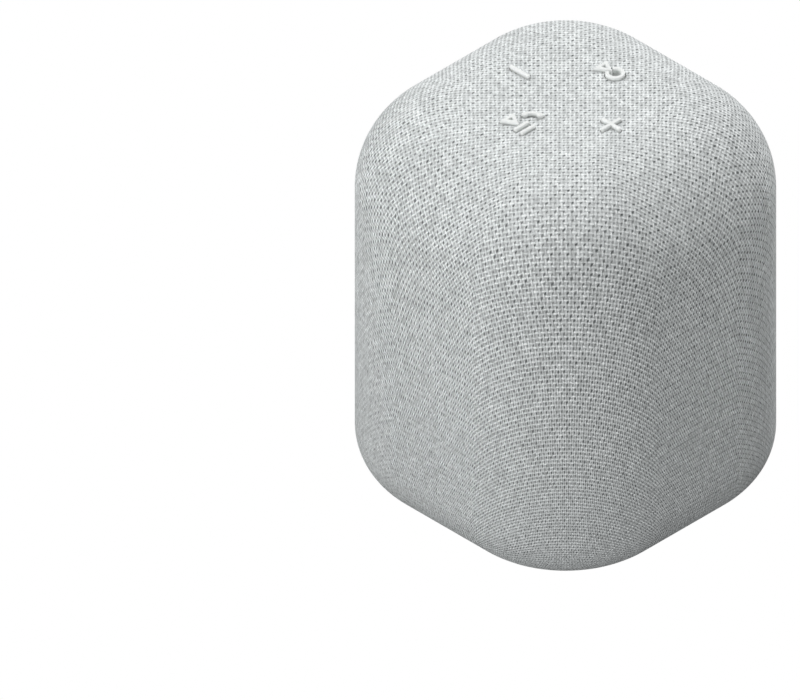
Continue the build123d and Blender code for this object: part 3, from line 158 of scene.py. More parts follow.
class Graph:
    """Adds nodes to one tree and links what they are given."""

    def __init__(self, tree: bpy.types.NodeTree) -> None:
        """Work on that tree."""
        self.tree = tree

    def feed(self, socket: bpy.types.NodeSocket, value: Input) -> None:
        """Link a socket to a field or another socket, or set a plain value on it.

        Args:
            socket: The input socket.
            value: What it is given.
        """
        if isinstance(value, Field):
            value = value.socket
        if isinstance(value, bpy.types.NodeSocket):
            self.tree.links.new(value, socket)
        else:
            socket.default_value = value

    def add(
        self, kind: str, inputs: dict[str | int, Input] | None = None, **settings: object
    ) -> bpy.types.Node:
        """Add a node.

        Args:
            kind: The node's type.
            inputs: What each input is given, by its name or place.
            settings: The node's own properties.

        Returns:
            The new node.
        """
        node = self.tree.nodes.new(kind)
        for name, value in settings.items():
            setattr(node, name, value)
        for key, value in (inputs or {}).items():
            self.feed(node.inputs[key], value)
        return node

    def math(self, operation: str, *values: Input) -> Field:
        """Add a Math node and return its result."""
        node = self.add("ShaderNodeMath", dict(enumerate(values)), operation=operation)
        return Field(self, node.outputs[0])

    def split(self, vector: bpy.types.NodeSocket) -> tuple[Field, Field, Field]:
        """Return the three parts of a vector."""
        x, y, z = self.add("ShaderNodeSeparateXYZ", {0: vector}).outputs
        return Field(self, x), Field(self, y), Field(self, z)

    def join(self, x: Input, y: Input, z: Input = 0.0) -> bpy.types.NodeSocket:
        """Return the vector of three numbers."""
        return self.add("ShaderNodeCombineXYZ", {0: x, 1: y, 2: z}).outputs[0]

    def mix(self, factor: Input, first: Input, second: Input) -> bpy.types.NodeSocket:
        """Return a colour between two others."""
        colour_a, colour_b, result = 6, 7, 2
        node = self.add("ShaderNodeMix", {0: factor, colour_a: first, colour_b: second}, data_type="RGBA")
        return node.outputs[result]

    def scale(self, vector: Input, factor: Input) -> bpy.types.NodeSocket:
        """Return a vector or colour times a number."""
        return self.add("ShaderNodeVectorMath", {0: vector, "Scale": factor}, operation="SCALE").outputs[0]

    def stretch(self, vector: Input, factors: tuple[float, float, float]) -> bpy.types.NodeSocket:
        """Return a vector with each part times its own number."""
        return self.add("ShaderNodeVectorMath", {0: vector, 1: factors}, operation="MULTIPLY").outputs[0]

    def noise(self, vector: Input, scale: Input, detail: float = 2.0) -> Field:
        """Return soft noise from 0 to 1 over those coordinates."""
        node = self.add("ShaderNodeTexNoise", {"Vector": vector, "Scale": scale, "Detail": detail})
        return Field(self, node.outputs[0])

    def between(self, value: Input, low: float, high: float) -> Field:
        """Return 0 below low and 1 above high, with a smooth rise from one to the other."""
        node = self.add(
            "ShaderNodeMapRange",
            {"Value": value, "From Min": low, "From Max": high},
            interpolation_type="SMOOTHSTEP",
        )
        return Field(self, node.outputs[0])

    def shown(self) -> Field:
        """Return 1 for rays from the camera, straight or by way of gloss or glass, and 0 for the rest."""
        rays = self.add("ShaderNodeLightPath").outputs
        seen = self.math("MAXIMUM", rays["Is Camera Ray"], rays["Is Glossy Ray"])
        return self.math("MAXIMUM", seen, rays["Is Transmission Ray"])


class Group:
    """A shader node group in the making, with its named sockets."""

    def __init__(self, name: str, inputs: dict[str, object], outputs: dict[str, str]) -> None:
        """Make the group.

        Args:
            name: The group's name.
            inputs: The first value of each input: a number, a colour, or None for a vector.
            outputs: The socket type of each output.
        """
        self.tree = bpy.data.node_groups.new(name, "ShaderNodeTree")
        for label, value in inputs.items():
            kind = {float: "NodeSocketFloat", tuple: "NodeSocketColor"}.get(type(value), "NodeSocketVector")
            socket = self.tree.interface.new_socket(name=label, in_out="INPUT", socket_type=kind)
            if value is not None:
                socket.default_value = value
        for label, kind in outputs.items():
            self.tree.interface.new_socket(name=label, in_out="OUTPUT", socket_type=kind)
        self.graph = Graph(self.tree)
        self.given = self.graph.add("NodeGroupInput").outputs
        self.result = self.graph.add("NodeGroupOutput").inputs

    def number(self, label: str) -> Field:
        """Return an input as a number to reckon with."""
        return Field(self.graph, self.given[label])


@functools.cache
def grain_group() -> bpy.types.NodeTree:
    """Build the cast grain that the plastics, rubbers and metals share.

    Returns:
        A group that varies a colour and a roughness with a fine grain, and gives the grain's height.
    """
    group = Group(
        "cast_grain",
        {
            "Place": None,
            "Scale": 900.0,
            "Contrast": 0.1,
            "Colour": grey(0.5),
            "Roughness": 0.5,
            "Spread": GRAIN_SPREAD,
        },
        {"Colour": "NodeSocketColor", "Roughness": "NodeSocketFloat", "Height": "NodeSocketFloat"},
    )
    graph, place, scale = group.graph, group.given["Place"], group.number("Scale")
    fine_detail, broader = 3.0, 0.08
    fine = graph.noise(place, scale, fine_detail)
    broad = graph.noise(place, scale * broader)
    tone = 1.0 + group.number("Contrast") * (fine + broad - 1.0)
    graph.feed(group.result["Colour"], graph.scale(group.given["Colour"], tone))
    graph.feed(group.result["Roughness"], group.number("Roughness") + group.number("Spread") * (fine - 0.5))
    graph.feed(group.result["Height"], fine)
    return group.tree


@functools.cache
def weave_group() -> bpy.types.NodeTree:
    """Build the plain weave: two sets of yarn that pass over and under each other, with a pit at each corner,
    coloured with painted shade and painted highlights.

    Returns:
        A group that gives the colour and height of the weave at a place counted in yarns.
    """
    group = Group(
        "plain_weave",
        {
            "Yarns": None,
            "Yarn Width": 0.95,
            "Crimp": 0.6,
            "Wander": 0.2,
            "Slub": 0.2,
            "Flank Shade": 0.4,
            "Line Highlight": 0.4,
            "Through": 0.0,
            "Pit Size": 0.4,
            "Small Pit": 0.6,
            "Yarn Colour": grey(0.8),
            "Shadow Colour": grey(0.1),
        },
        {"Colour": "NodeSocketColor", "Height": "NodeSocketFloat"},
    )
    graph = group.graph
    # Lengths are counted in yarns, and the rest are shares of 1.
    drift_scale, drift_detail = 0.8, 3.0
    bare, melt = 2.5, 0.3
    next_yarn, tone_rate = 5.3, 0.35
    fibre_fine, fibre_long, fibre_rise = 9.0, 1.4, 0.5
    line_half, line_least, line_more, line_mean = 0.24, 0.4, 1.2, 0.45
    size_least, size_more, pit_floor = 0.7, 0.5, 0.25
    dark_least, dark_more = 0.38, 0.54
    crest_low, crest_high = -0.2, 1.7
    patchy, tone_mean = 0.6, 1.3

    width, crimp, wander = group.number("Yarn Width"), group.number("Crimp"), group.number("Wander")
    loose = graph.add(
        "ShaderNodeTexNoise", {"Vector": group.given["Yarns"], "Scale": drift_scale, "Detail": drift_detail}
    )
    drift_warp, drift_weft, _ = graph.split(loose.outputs[1])
    straight_warp, straight_weft, _ = graph.split(group.given["Yarns"])
    warp_place = straight_warp + wander * (drift_warp - 0.5)
    weft_place = straight_weft + wander * (drift_weft - 0.5)

    def from_middle(across: Field) -> Field:
        """Return how far a place lies from the middle of its yarn, up to half a yarn."""
        return graph.math("ABSOLUTE", graph.math("FRACT", across) - 0.5)

    def yarn_height(across: Field, along: Field, side: float) -> Field:
        """Return the height of one set of yarns.

        Args:
            across: The place counted across the yarns.
            along: The place counted along them.
            side: 1 for the set that starts on top, and -1 for the other.

        Returns:
            The height, far down where there is no yarn.
        """
        out = from_middle(across) * 2.0 / width
        crown = graph.math("SQRT", graph.math("MAXIMUM", 1.0 - out * out, 0.0))
        turn = graph.math("SIGN", graph.math("SINE", across * math.pi)) * graph.math("SINE", along * math.pi)
        return (crown + crimp * side * turn + bare) * graph.math("LESS_THAN", out, 1.0) - bare

    warp = yarn_height(warp_place, weft_place, 1.0)
    weft = yarn_height(weft_place, warp_place, -1.0)
    top = graph.math("SMOOTH_MAX", warp, weft, melt)
    warp_shows = graph.math("GREATER_THAN", warp, weft)

    def upper(of_warp: Field, of_weft: Field) -> Field:
        """Return the number that belongs to the yarn on top."""
        return of_weft + (of_warp - of_weft) * warp_shows

    def along_yarn(across: Field, along: Field) -> Field:
        """Return the slow change of tone along each yarn."""
        return graph.noise(graph.join(graph.math("FLOOR", across) * next_yarn, along * tone_rate), 1.0)

    tone = upper(along_yarn(warp_place, weft_place), along_yarn(weft_place, warp_place))
    fibre = upper(
        graph.noise(graph.join(warp_place * fibre_fine, weft_place * fibre_long), 1.0),
        graph.noise(graph.join(warp_place * fibre_long, weft_place * fibre_fine), 1.0),
    )

    def highlight_line(across: Field, fullness: Field) -> Field:
        """Return the strength of the painted highlight along the middle of each yarn, and 0 on its flanks."""
        middle = 1.0 - graph.between(from_middle(across), 0.0, line_half)
        return middle * (line_least + line_more * fullness)

    crossing = graph.join(graph.math("FLOOR", warp_place), graph.math("FLOOR", weft_place))
    full = graph.add("ShaderNodeTexWhiteNoise", {"Vector": crossing}, noise_dimensions="2D")
    warp_full, weft_full, _ = graph.split(full.outputs[1])
    warp_line, weft_line = highlight_line(warp_place, warp_full), highlight_line(weft_place, weft_full)
    covered = (1.0 - group.number("Through")) * warp_shows
    highlight_lines = weft_line * (1.0 - covered) + warp_line * covered

    # Each corner between yarns holds a pit, a gap between them coloured with painted shadow. Every other pit
    # slants the other way and is painted smaller and lighter, as the light falls differently on that slant.
    row, column = (graph.math("FLOOR", place + 0.5) for place in (warp_place, weft_place))
    aside, ahead = (graph.math("FRACT", place + 0.5) - 0.5 for place in (warp_place, weft_place))
    every_other = graph.math("FRACT", (row + column) * 0.5) * 2.0
    slant = (1.0 - every_other * 2.0) * aside * ahead
    from_corner = graph.math("SQRT", aside * aside + ahead * ahead - slant)
    corner = graph.join(row, column)
    chance = graph.add("ShaderNodeTexWhiteNoise", {"Vector": corner}, noise_dimensions="2D")
    size_chance, depth_chance, tone_chance = graph.split(chance.outputs[1])
    small = 1.0 - (1.0 - group.number("Small Pit")) * every_other
    pit_size = group.number("Pit Size") * small * (size_least + size_more * size_chance)
    inside = 1.0 - graph.between(from_corner / pit_size, pit_floor, 1.0)
    pit = inside * (dark_least + dark_more * depth_chance) * small

    # Painted shade darkens each yarn's flanks away from its crest, and a painted highlight brightens a line
    # along its middle.
    crest = graph.between(top, crest_low, crest_high)
    shade = 1.0 + group.number("Slub") * (tone + fibre + patchy * tone_chance - tone_mean)
    painted_highlight = 1.0 + group.number("Line Highlight") * (highlight_lines - line_mean)
    relief = (1.0 - group.number("Flank Shade") * (1.0 - crest)) * painted_highlight
    yarn = graph.scale(group.given["Yarn Colour"], shade * relief)
    graph.feed(group.result["Colour"], graph.mix(pit, yarn, group.given["Shadow Colour"]))
    graph.feed(group.result["Height"], top + fibre * fibre_rise - pit)
    return group.tree


class Surface:
    """A new node material with its Principled shader."""

    def __init__(self, name: str) -> None:
        """Make the material."""
        self.material = bpy.data.materials.new(name)
        self.material.use_nodes = True
        self.graph = Graph(self.material.node_tree)
        self.shader = self.material.node_tree.nodes["Principled BSDF"]

    def place(self) -> bpy.types.NodeSocket:
        """Return the Object coordinates."""
        return self.graph.add("ShaderNodeTexCoord").outputs["Object"]

    def use(self, tree: bpy.types.NodeTree, inputs: dict[str, Input]) -> bpy.types.Node:
        """Place a node group with its values."""
        node = self.graph.add("ShaderNodeGroup", node_tree=tree)
        for label, value in inputs.items():
            self.graph.feed(node.inputs[label], value)
        return node

    def emboss(self, height: Input, depth: float) -> None:
        """Raise the surface by a height of 0 to 1 times that depth in metres."""
        bump = self.graph.add("ShaderNodeBump", {"Height": height, "Distance": depth})
        self.graph.feed(self.shader.inputs["Normal"], bump.outputs[0])

    def set(self, **values: Input) -> None:
        """Set or link inputs of the shader, with _ for each space in a name."""
        for label, value in values.items():
            self.graph.feed(self.shader.inputs[label.replace("_", " ")], value)


@dataclass(frozen=True)
class CastFinish:
    """Moulded plastic, rubber, foam or bare metal with a fine grain.

    Attributes:
        colour: The base colour.
        roughness: The middle roughness.
        scale: Grains to the metre.
        depth: The grain's depth in metres.
        contrast: How far the grain changes the colour.
        metal: 1 for a metal.
        stretch: How far the grain is drawn out along each axis.
    """

    colour: Colour
    roughness: float = 0.5
    scale: float = 1500.0
    depth: float = 0.02 * MM
    contrast: float = 0.1
    metal: float = 0.0
    stretch: tuple[float, float, float] = (1.0, 1.0, 1.0)

    def material(self, name: str) -> bpy.types.Material:
        """Build the material under that name."""
        surface = Surface(name)
        grain = surface.use(
            grain_group(),
            {
                "Place": surface.graph.stretch(surface.place(), self.stretch),
                "Scale": self.scale,
                "Contrast": self.contrast,
                "Colour": self.colour,
                "Roughness": self.roughness,
                "Spread": GRAIN_SPREAD,
            },
        )
        surface.set(
            Base_Color=grain.outputs["Colour"], Roughness=grain.outputs["Roughness"], Metallic=self.metal
        )
        surface.emboss(grain.outputs["Height"], self.depth)
        return surface.material


@dataclass(frozen=True)
class KeyFinish:
    """Smooth key plastic with painted shade low on the raised symbols, standing in for the shade of the cloth
    round them.

    Attributes:
        colour: The base colour.
        shade: How much of the colour the painted shade leaves at the foot of a symbol.
        cap: The height below which a key shows its full colour, just over the flat of the key.
        foot: The height of the cloth round the symbols.
        crown: The height above which a symbol shows its full colour.
        soak: How far light spreads under the surface.
        roughness: The middle roughness.
        scale: Grains to the metre.
        depth: The grain's depth in metres.
        contrast: How far the grain changes the colour.
    """

    colour: Colour
    shade: float = 0.88
    cap: float = 109.05 * MM
    foot: float = 110.05 * MM
    crown: float = 110.45 * MM
    soak: float = 0.7 * MM
    roughness: float = 0.4
    scale: float = 2200.0
    depth: float = 0.008 * MM
    contrast: float = 0.05

    def material(self, name: str) -> bpy.types.Material:
        """Build the material under that name."""
        surface = Surface(name)
        graph, place = surface.graph, surface.place()
        grain = surface.use(
            grain_group(),
            {
                "Place": place,
                "Scale": self.scale,
                "Contrast": self.contrast,
                "Colour": self.colour,
                "Roughness": self.roughness,
                "Spread": GRAIN_SPREAD,
            },
        )
        # Painted shade: the raised symbols darken towards their foot, standing in for the shade of the cloth
        # round them, while the key below the cap keeps its full colour.
        height = graph.split(place)[2]
        raised = graph.between(height, self.foot, self.crown)
        lit = graph.math("MAXIMUM", raised, graph.math("LESS_THAN", height, self.cap))
        surface.set(
            Base_Color=graph.scale(grain.outputs["Colour"], self.shade + (1.0 - self.shade) * lit),
            Roughness=grain.outputs["Roughness"],
            Subsurface_Weight=1.0,
            Subsurface_Radius=(1.0, 1.0, 1.0),
            Subsurface_Scale=self.soak,
        )
        surface.emboss(grain.outputs["Height"], self.depth)
        return surface.material


@dataclass(frozen=True)
class BandedFinish:
    """Wound wire or printed film: two colours in fine bands.

    Attributes:
        line: The colour of the bands.
        ground: The colour between them.
        pitch: The distance from band to band in metres.
        direction: The axis that the bands follow each other along.
        roughness: The roughness.
        metal: 1 for a metal.
        waver: How far the bands stray from straight.
        edge: Where in the wave a band begins and where it is full.
        depth: The height of the bands in metres.
    """

    line: Colour
    ground: Colour
    pitch: float
    direction: str
    roughness: float
    metal: float = 0.0
    waver: float = 0.4
    edge: tuple[float, float] = (0.2, 0.7)
    depth: float = 0.05 * MM

    def material(self, name: str) -> bpy.types.Material:
        """Build the material under that name."""
        surface = Surface(name)
        bands = surface.graph.add(
            "ShaderNodeTexWave",
            {
                "Vector": surface.place(),
                "Scale": WAVE_LENGTH / self.pitch,
                "Distortion": self.waver,
                "Detail": 1.0,
            },
            bands_direction=self.direction,
        )
        rise = surface.graph.between(bands.outputs[1], *self.edge)
        surface.set(
            Base_Color=surface.graph.mix(rise, self.ground, self.line),
            Roughness=self.roughness,
            Metallic=self.metal,
        )
        surface.emboss(rise, self.depth)
        return surface.material


@dataclass(frozen=True)
class FibreFinish:
    """Pressed paper fibre, as in a driver's cone.

    Attributes:
        fibre: The colour of the fibres.
        ground: The colour between them.
        scale: Fibres to the metre.
        detail: How many finer fibres lie among them.
        ways: What each set's coordinates are multiplied by. A small number draws the fibres out.
        edge: Where in the noise a fibre begins and where it is full.
        roughness: The least roughness, and what a fibre adds to it.
        depth: The height of the fibres in metres.
    """

    fibre: Colour
    ground: Colour
    scale: float = 2600.0
    detail: float = 3.0
    ways: tuple[tuple[float, float, float], ...] = ((1.0, 1.0, 0.2), (0.2, 1.0, 1.0))
    edge: tuple[float, float] = (0.45, 0.75)
    roughness: tuple[float, float] = (0.55, 0.4)
    depth: float = 0.06 * MM

    def material(self, name: str) -> bpy.types.Material:
        """Build the material under that name."""
        surface = Surface(name)
        graph, place = surface.graph, surface.place()
        strands = [graph.noise(graph.stretch(place, way), self.scale, self.detail) for way in self.ways]
        felt = graph.math("MAXIMUM", *strands)
        least, more = self.roughness
        surface.set(
            Base_Color=graph.mix(graph.between(felt, *self.edge), self.ground, self.fibre),
            Roughness=least + felt * more,
        )
        surface.emboss(felt, self.depth)
        return surface.material


@dataclass(frozen=True)
class BoardFinish:
    """Solder mask over copper tracks.

    Attributes:
        mask: The colour of the mask over bare laminate.
        track: The colour of the mask over copper.
        scale: Cells of the track pattern to the metre.
        disorder: How far the cells stray from a grid, up to 1.
        edge: Where in a cell the copper begins and where it is full.
        roughness: The least roughness, and what copper adds to it.
        depth: The copper's height in metres.
    """

    mask: Colour
    track: Colour
    scale: float = 420.0
    disorder: float = 0.55
    edge: tuple[float, float] = (0.28, 0.34)
    roughness: tuple[float, float] = (0.3, 0.12)
    depth: float = 0.03 * MM

    def material(self, name: str) -> bpy.types.Material:
        """Build the material under that name."""
        surface = Surface(name)
        graph = surface.graph
        cells = graph.add(
            "ShaderNodeTexVoronoi",
            {"Vector": surface.place(), "Scale": self.scale, "Randomness": self.disorder},
            distance="CHEBYCHEV",
        )
        copper = graph.between(cells.outputs["Distance"], *self.edge)
        least, more = self.roughness
        surface.set(Base_Color=graph.mix(copper, self.mask, self.track), Roughness=least + copper * more)
        surface.emboss(copper, self.depth)
        return surface.material


@dataclass(frozen=True)
class WeaveFinish:
    """Pale woven cloth with painted shade on the yarns' flanks and in the pits and a painted highlight along
    each yarn; it opens a little where it is drawn down over the sides, and the painted shade and highlights
    are stronger there.

    Attributes:
        yarn: The colour of the yarn.
        shadow: The colour deep between yarns.
        pitch: The distance from yarn to yarn in metres, on the flat cloth.
        span: The width in metres that the UV map covers.
        depth: The height of the weave's relief in metres.
        drawn: How far out from the top's centre the cloth begins to be drawn, and where it is drawn in full.
        width: The width of a yarn, of the pitch.
        crimp: How far the yarns rise and sink, of half their width.
        wander: How far the yarns stray from side to side, of the pitch.
        slub: How far the yarn's tone varies.
        flank_shade: How dark the painted shade on the yarns' flanks is on the top, and what drawn cloth adds.
        line_highlight: How bright the painted highlight along a yarn is on the top, and what drawn cloth
            adds.
        through: How far the cross yarns' painted highlights show through where they lie below.
        pit: The size of the pits on the top, and what drawn cloth adds.
        small_pit: The size and depth of every other pit, of the rest; these pits are painted smaller and
            lighter, as the light falls differently on their slant.
        roughness: The roughness.
        gloss: The level of the gloss.
    """

    yarn: Colour
    shadow: Colour
    pitch: float
    span: float
    depth: float
    drawn: tuple[float, float] = (25.0 * MM, 60.0 * MM)
    width: float = 0.98
    crimp: float = 0.6
    wander: float = 0.5
    slub: float = 0.5
    flank_shade: tuple[float, float] = (0.22, 0.08)
    line_highlight: tuple[float, float] = (0.28, 0.16)
    through: float = 0.2
    pit: tuple[float, float] = (0.33, 0.12)
    small_pit: float = 0.3
    roughness: float = 0.88
    gloss: float = 0.25

    def material(self, name: str) -> bpy.types.Material:
        """Build the material under that name."""
        surface = Surface(name)
        graph = surface.graph
        uv = graph.add("ShaderNodeUVMap", uv_map=UV_LAYER).outputs[0]
        across, along, _ = graph.split(uv)
        across, along = across - 0.5, along - 0.5
        radius = graph.math("SQRT", across * across + along * along) * self.span
        # Where the cloth is drawn down over the sides its pits open a little, and its painted flank shade and
        # painted highlights are made stronger.
        drawn = graph.between(radius, *self.drawn)
        flank_shade, line_highlight, pit = (least + drawn * more for least, more in (self.flank_shade, self.line_highlight, self.pit))
        weave = surface.use(
            weave_group(),
            {
                "Yarns": graph.scale(uv, self.span / self.pitch),
                "Yarn Width": self.width,
                "Crimp": self.crimp,
                "Wander": self.wander,
                "Slub": self.slub,
                "Flank Shade": flank_shade,
                "Line Highlight": line_highlight,
                "Through": self.through,
                "Pit Size": pit,
                "Small Pit": self.small_pit,
                "Yarn Colour": self.yarn,
                "Shadow Colour": self.shadow,
            },
        )
        surface.set(
            Base_Color=weave.outputs["Colour"], Roughness=self.roughness, Specular_IOR_Level=self.gloss
        )
        surface.emboss(weave.outputs["Height"], self.depth)
        return surface.material


CLOTH_SPAN = 340.0 * MM

FINISHES = {
    Slot.WOVEN_CLOTH: WeaveFinish(
        yarn=(0.85, 0.881, 0.883, 1),
        shadow=(0.10, 0.115, 0.115, 1),
        pitch=1.06 * MM,
        span=CLOTH_SPAN,
        depth=0.2 * MM,
    ),
    Slot.SHELL_PLASTIC: CastFinish((0.52, 0.54, 0.54, 1), roughness=0.55, depth=0.03 * MM),
    Slot.KEY_PLASTIC: KeyFinish((0.85, 0.87, 0.86, 1)),
    Slot.FOOT_RUBBER: CastFinish(
        grey(0.09, -0.02), roughness=0.75, scale=1200.0, depth=0.05 * MM, contrast=0.2
    ),
    Slot.SILICONE: CastFinish(grey(0.30, -0.02), roughness=0.6, depth=0.01 * MM),
    Slot.GASKET_FOAM: CastFinish(grey(0.012), roughness=0.9, scale=1800.0, depth=0.2 * MM, contrast=0.6),
    Slot.CABINET_PLASTIC: CastFinish(grey(0.015, -0.04), roughness=0.5, depth=0.03 * MM, contrast=0.2),
    Slot.DRIVER_RUBBER: CastFinish(grey(0.01), roughness=0.45, depth=0.01 * MM, contrast=0.2),
    Slot.CONE_PAPER: FibreFinish(fibre=grey(0.05), ground=grey(0.012)),
    Slot.COIL_COPPER: BandedFinish(
        line=(0.72, 0.30, 0.12, 1),
        ground=(0.32, 0.11, 0.04, 1),
        pitch=0.2 * MM,
        direction="Y",
        roughness=0.3,
        metal=1.0,
    ),
    Slot.MAGNET_FERRITE: CastFinish(
        grey(0.022, -0.03), roughness=0.6, scale=3000.0, depth=0.02 * MM, contrast=0.5
    ),
    Slot.PLATED_STEEL: CastFinish(
        (0.60, 0.61, 0.63, 1),
        roughness=0.32,
        scale=1200.0,
        depth=0.006 * MM,
        metal=1.0,
        stretch=(1.0, 1.0, 6.0),
    ),
    Slot.BOARD_LAMINATE: BoardFinish(mask=(0.006, 0.055, 0.022, 1), track=(0.015, 0.11, 0.045, 1)),
    Slot.COMPONENT_PLASTIC: CastFinish(grey(0.012), roughness=0.45, depth=0.015 * MM, contrast=0.3),
    Slot.RIBBON_FILM: BandedFinish(
        line=(0.55, 0.55, 0.48, 1),
        ground=(0.70, 0.70, 0.64, 1),
        pitch=0.5 * MM,
        direction="X",
        roughness=0.3,
    ),
    Slot.CELL_WRAP: CastFinish(
        (0.03, 0.10, 0.21, 1), roughness=0.25, scale=500.0, depth=0.02 * MM, contrast=0.15
    ),
}


def modified_mesh(name: str, tree: bpy.types.NodeTree, inputs: dict[str, Input]) -> bpy.types.Object:
    """Make an object whose shape comes from a geometry node tree.

    Args:
        name: The piece's name.
        tree: The tree.
        inputs: The values of the tree's named inputs.

    Returns:
        The object, linked to the scene, with the tree as its first modifier.
    """
    piece = put(name, bpy.data.meshes.new(name))
    modifier = piece.modifiers.new("shape", "NODES")
    modifier.node_group = tree
    for item in tree.interface.items_tree:
        if item.in_out == "INPUT" and item.name in inputs:
            modifier[item.identifier] = inputs[item.name]
    return piece


def settle(piece: bpy.types.Object) -> bpy.types.Object:
    """Turn a piece and its modifiers into a plain mesh.

    Args:
        piece: The piece.

    Returns:
        The same piece, with no modifiers.
    """
    bpy.context.view_layer.update()
    drawn = piece.evaluated_get(bpy.context.evaluated_depsgraph_get())
    mesh = bpy.data.meshes.new_from_object(drawn)
    rough = piece.data
    piece.modifiers.clear()
    piece.data = mesh
    bpy.data.meshes.remove(rough)
    mesh.name = piece.name
    return piece


class ShapeTree:
    """A geometry node tree in the making, with named inputs for its sizes."""

    def __init__(self, name: str, inputs: dict[str, str]) -> None:
        """Make the tree.

        Args:
            name: The tree's name.
            inputs: The socket type of each input.
        """
        self.tree = bpy.data.node_groups.new(name, "GeometryNodeTree")
        for label, kind in inputs.items():
            self.tree.interface.new_socket(name=label, in_out="INPUT", socket_type=kind)
        self.tree.interface.new_socket(name="Mesh", in_out="OUTPUT", socket_type="NodeSocketGeometry")
        self.graph = Graph(self.tree)
        self.given = self.graph.add("NodeGroupInput").outputs

    def size(self, label: str) -> Field:
        """Return an input as a number to reckon with."""
        return Field(self.graph, self.given[label])

    def close(self, mesh: bpy.types.NodeSocket, material: bpy.types.Material) -> bpy.types.NodeTree:
        """End the tree in plain, smooth faces of one material.

        Args:
            mesh: What the tree has made.
            material: The material that it gets.

        Returns:
            The tree.
        """
        smooth = self.graph.add("GeometryNodeSetShadeSmooth", {0: mesh})
        plain = self.graph.add("GeometryNodeRealizeInstances", {0: smooth.outputs[0]})
        dressed = self.graph.add("GeometryNodeSetMaterial", {0: plain.outputs[0], "Material": material})
        self.graph.add("NodeGroupOutput", {0: dressed.outputs[0]})
        return self.tree


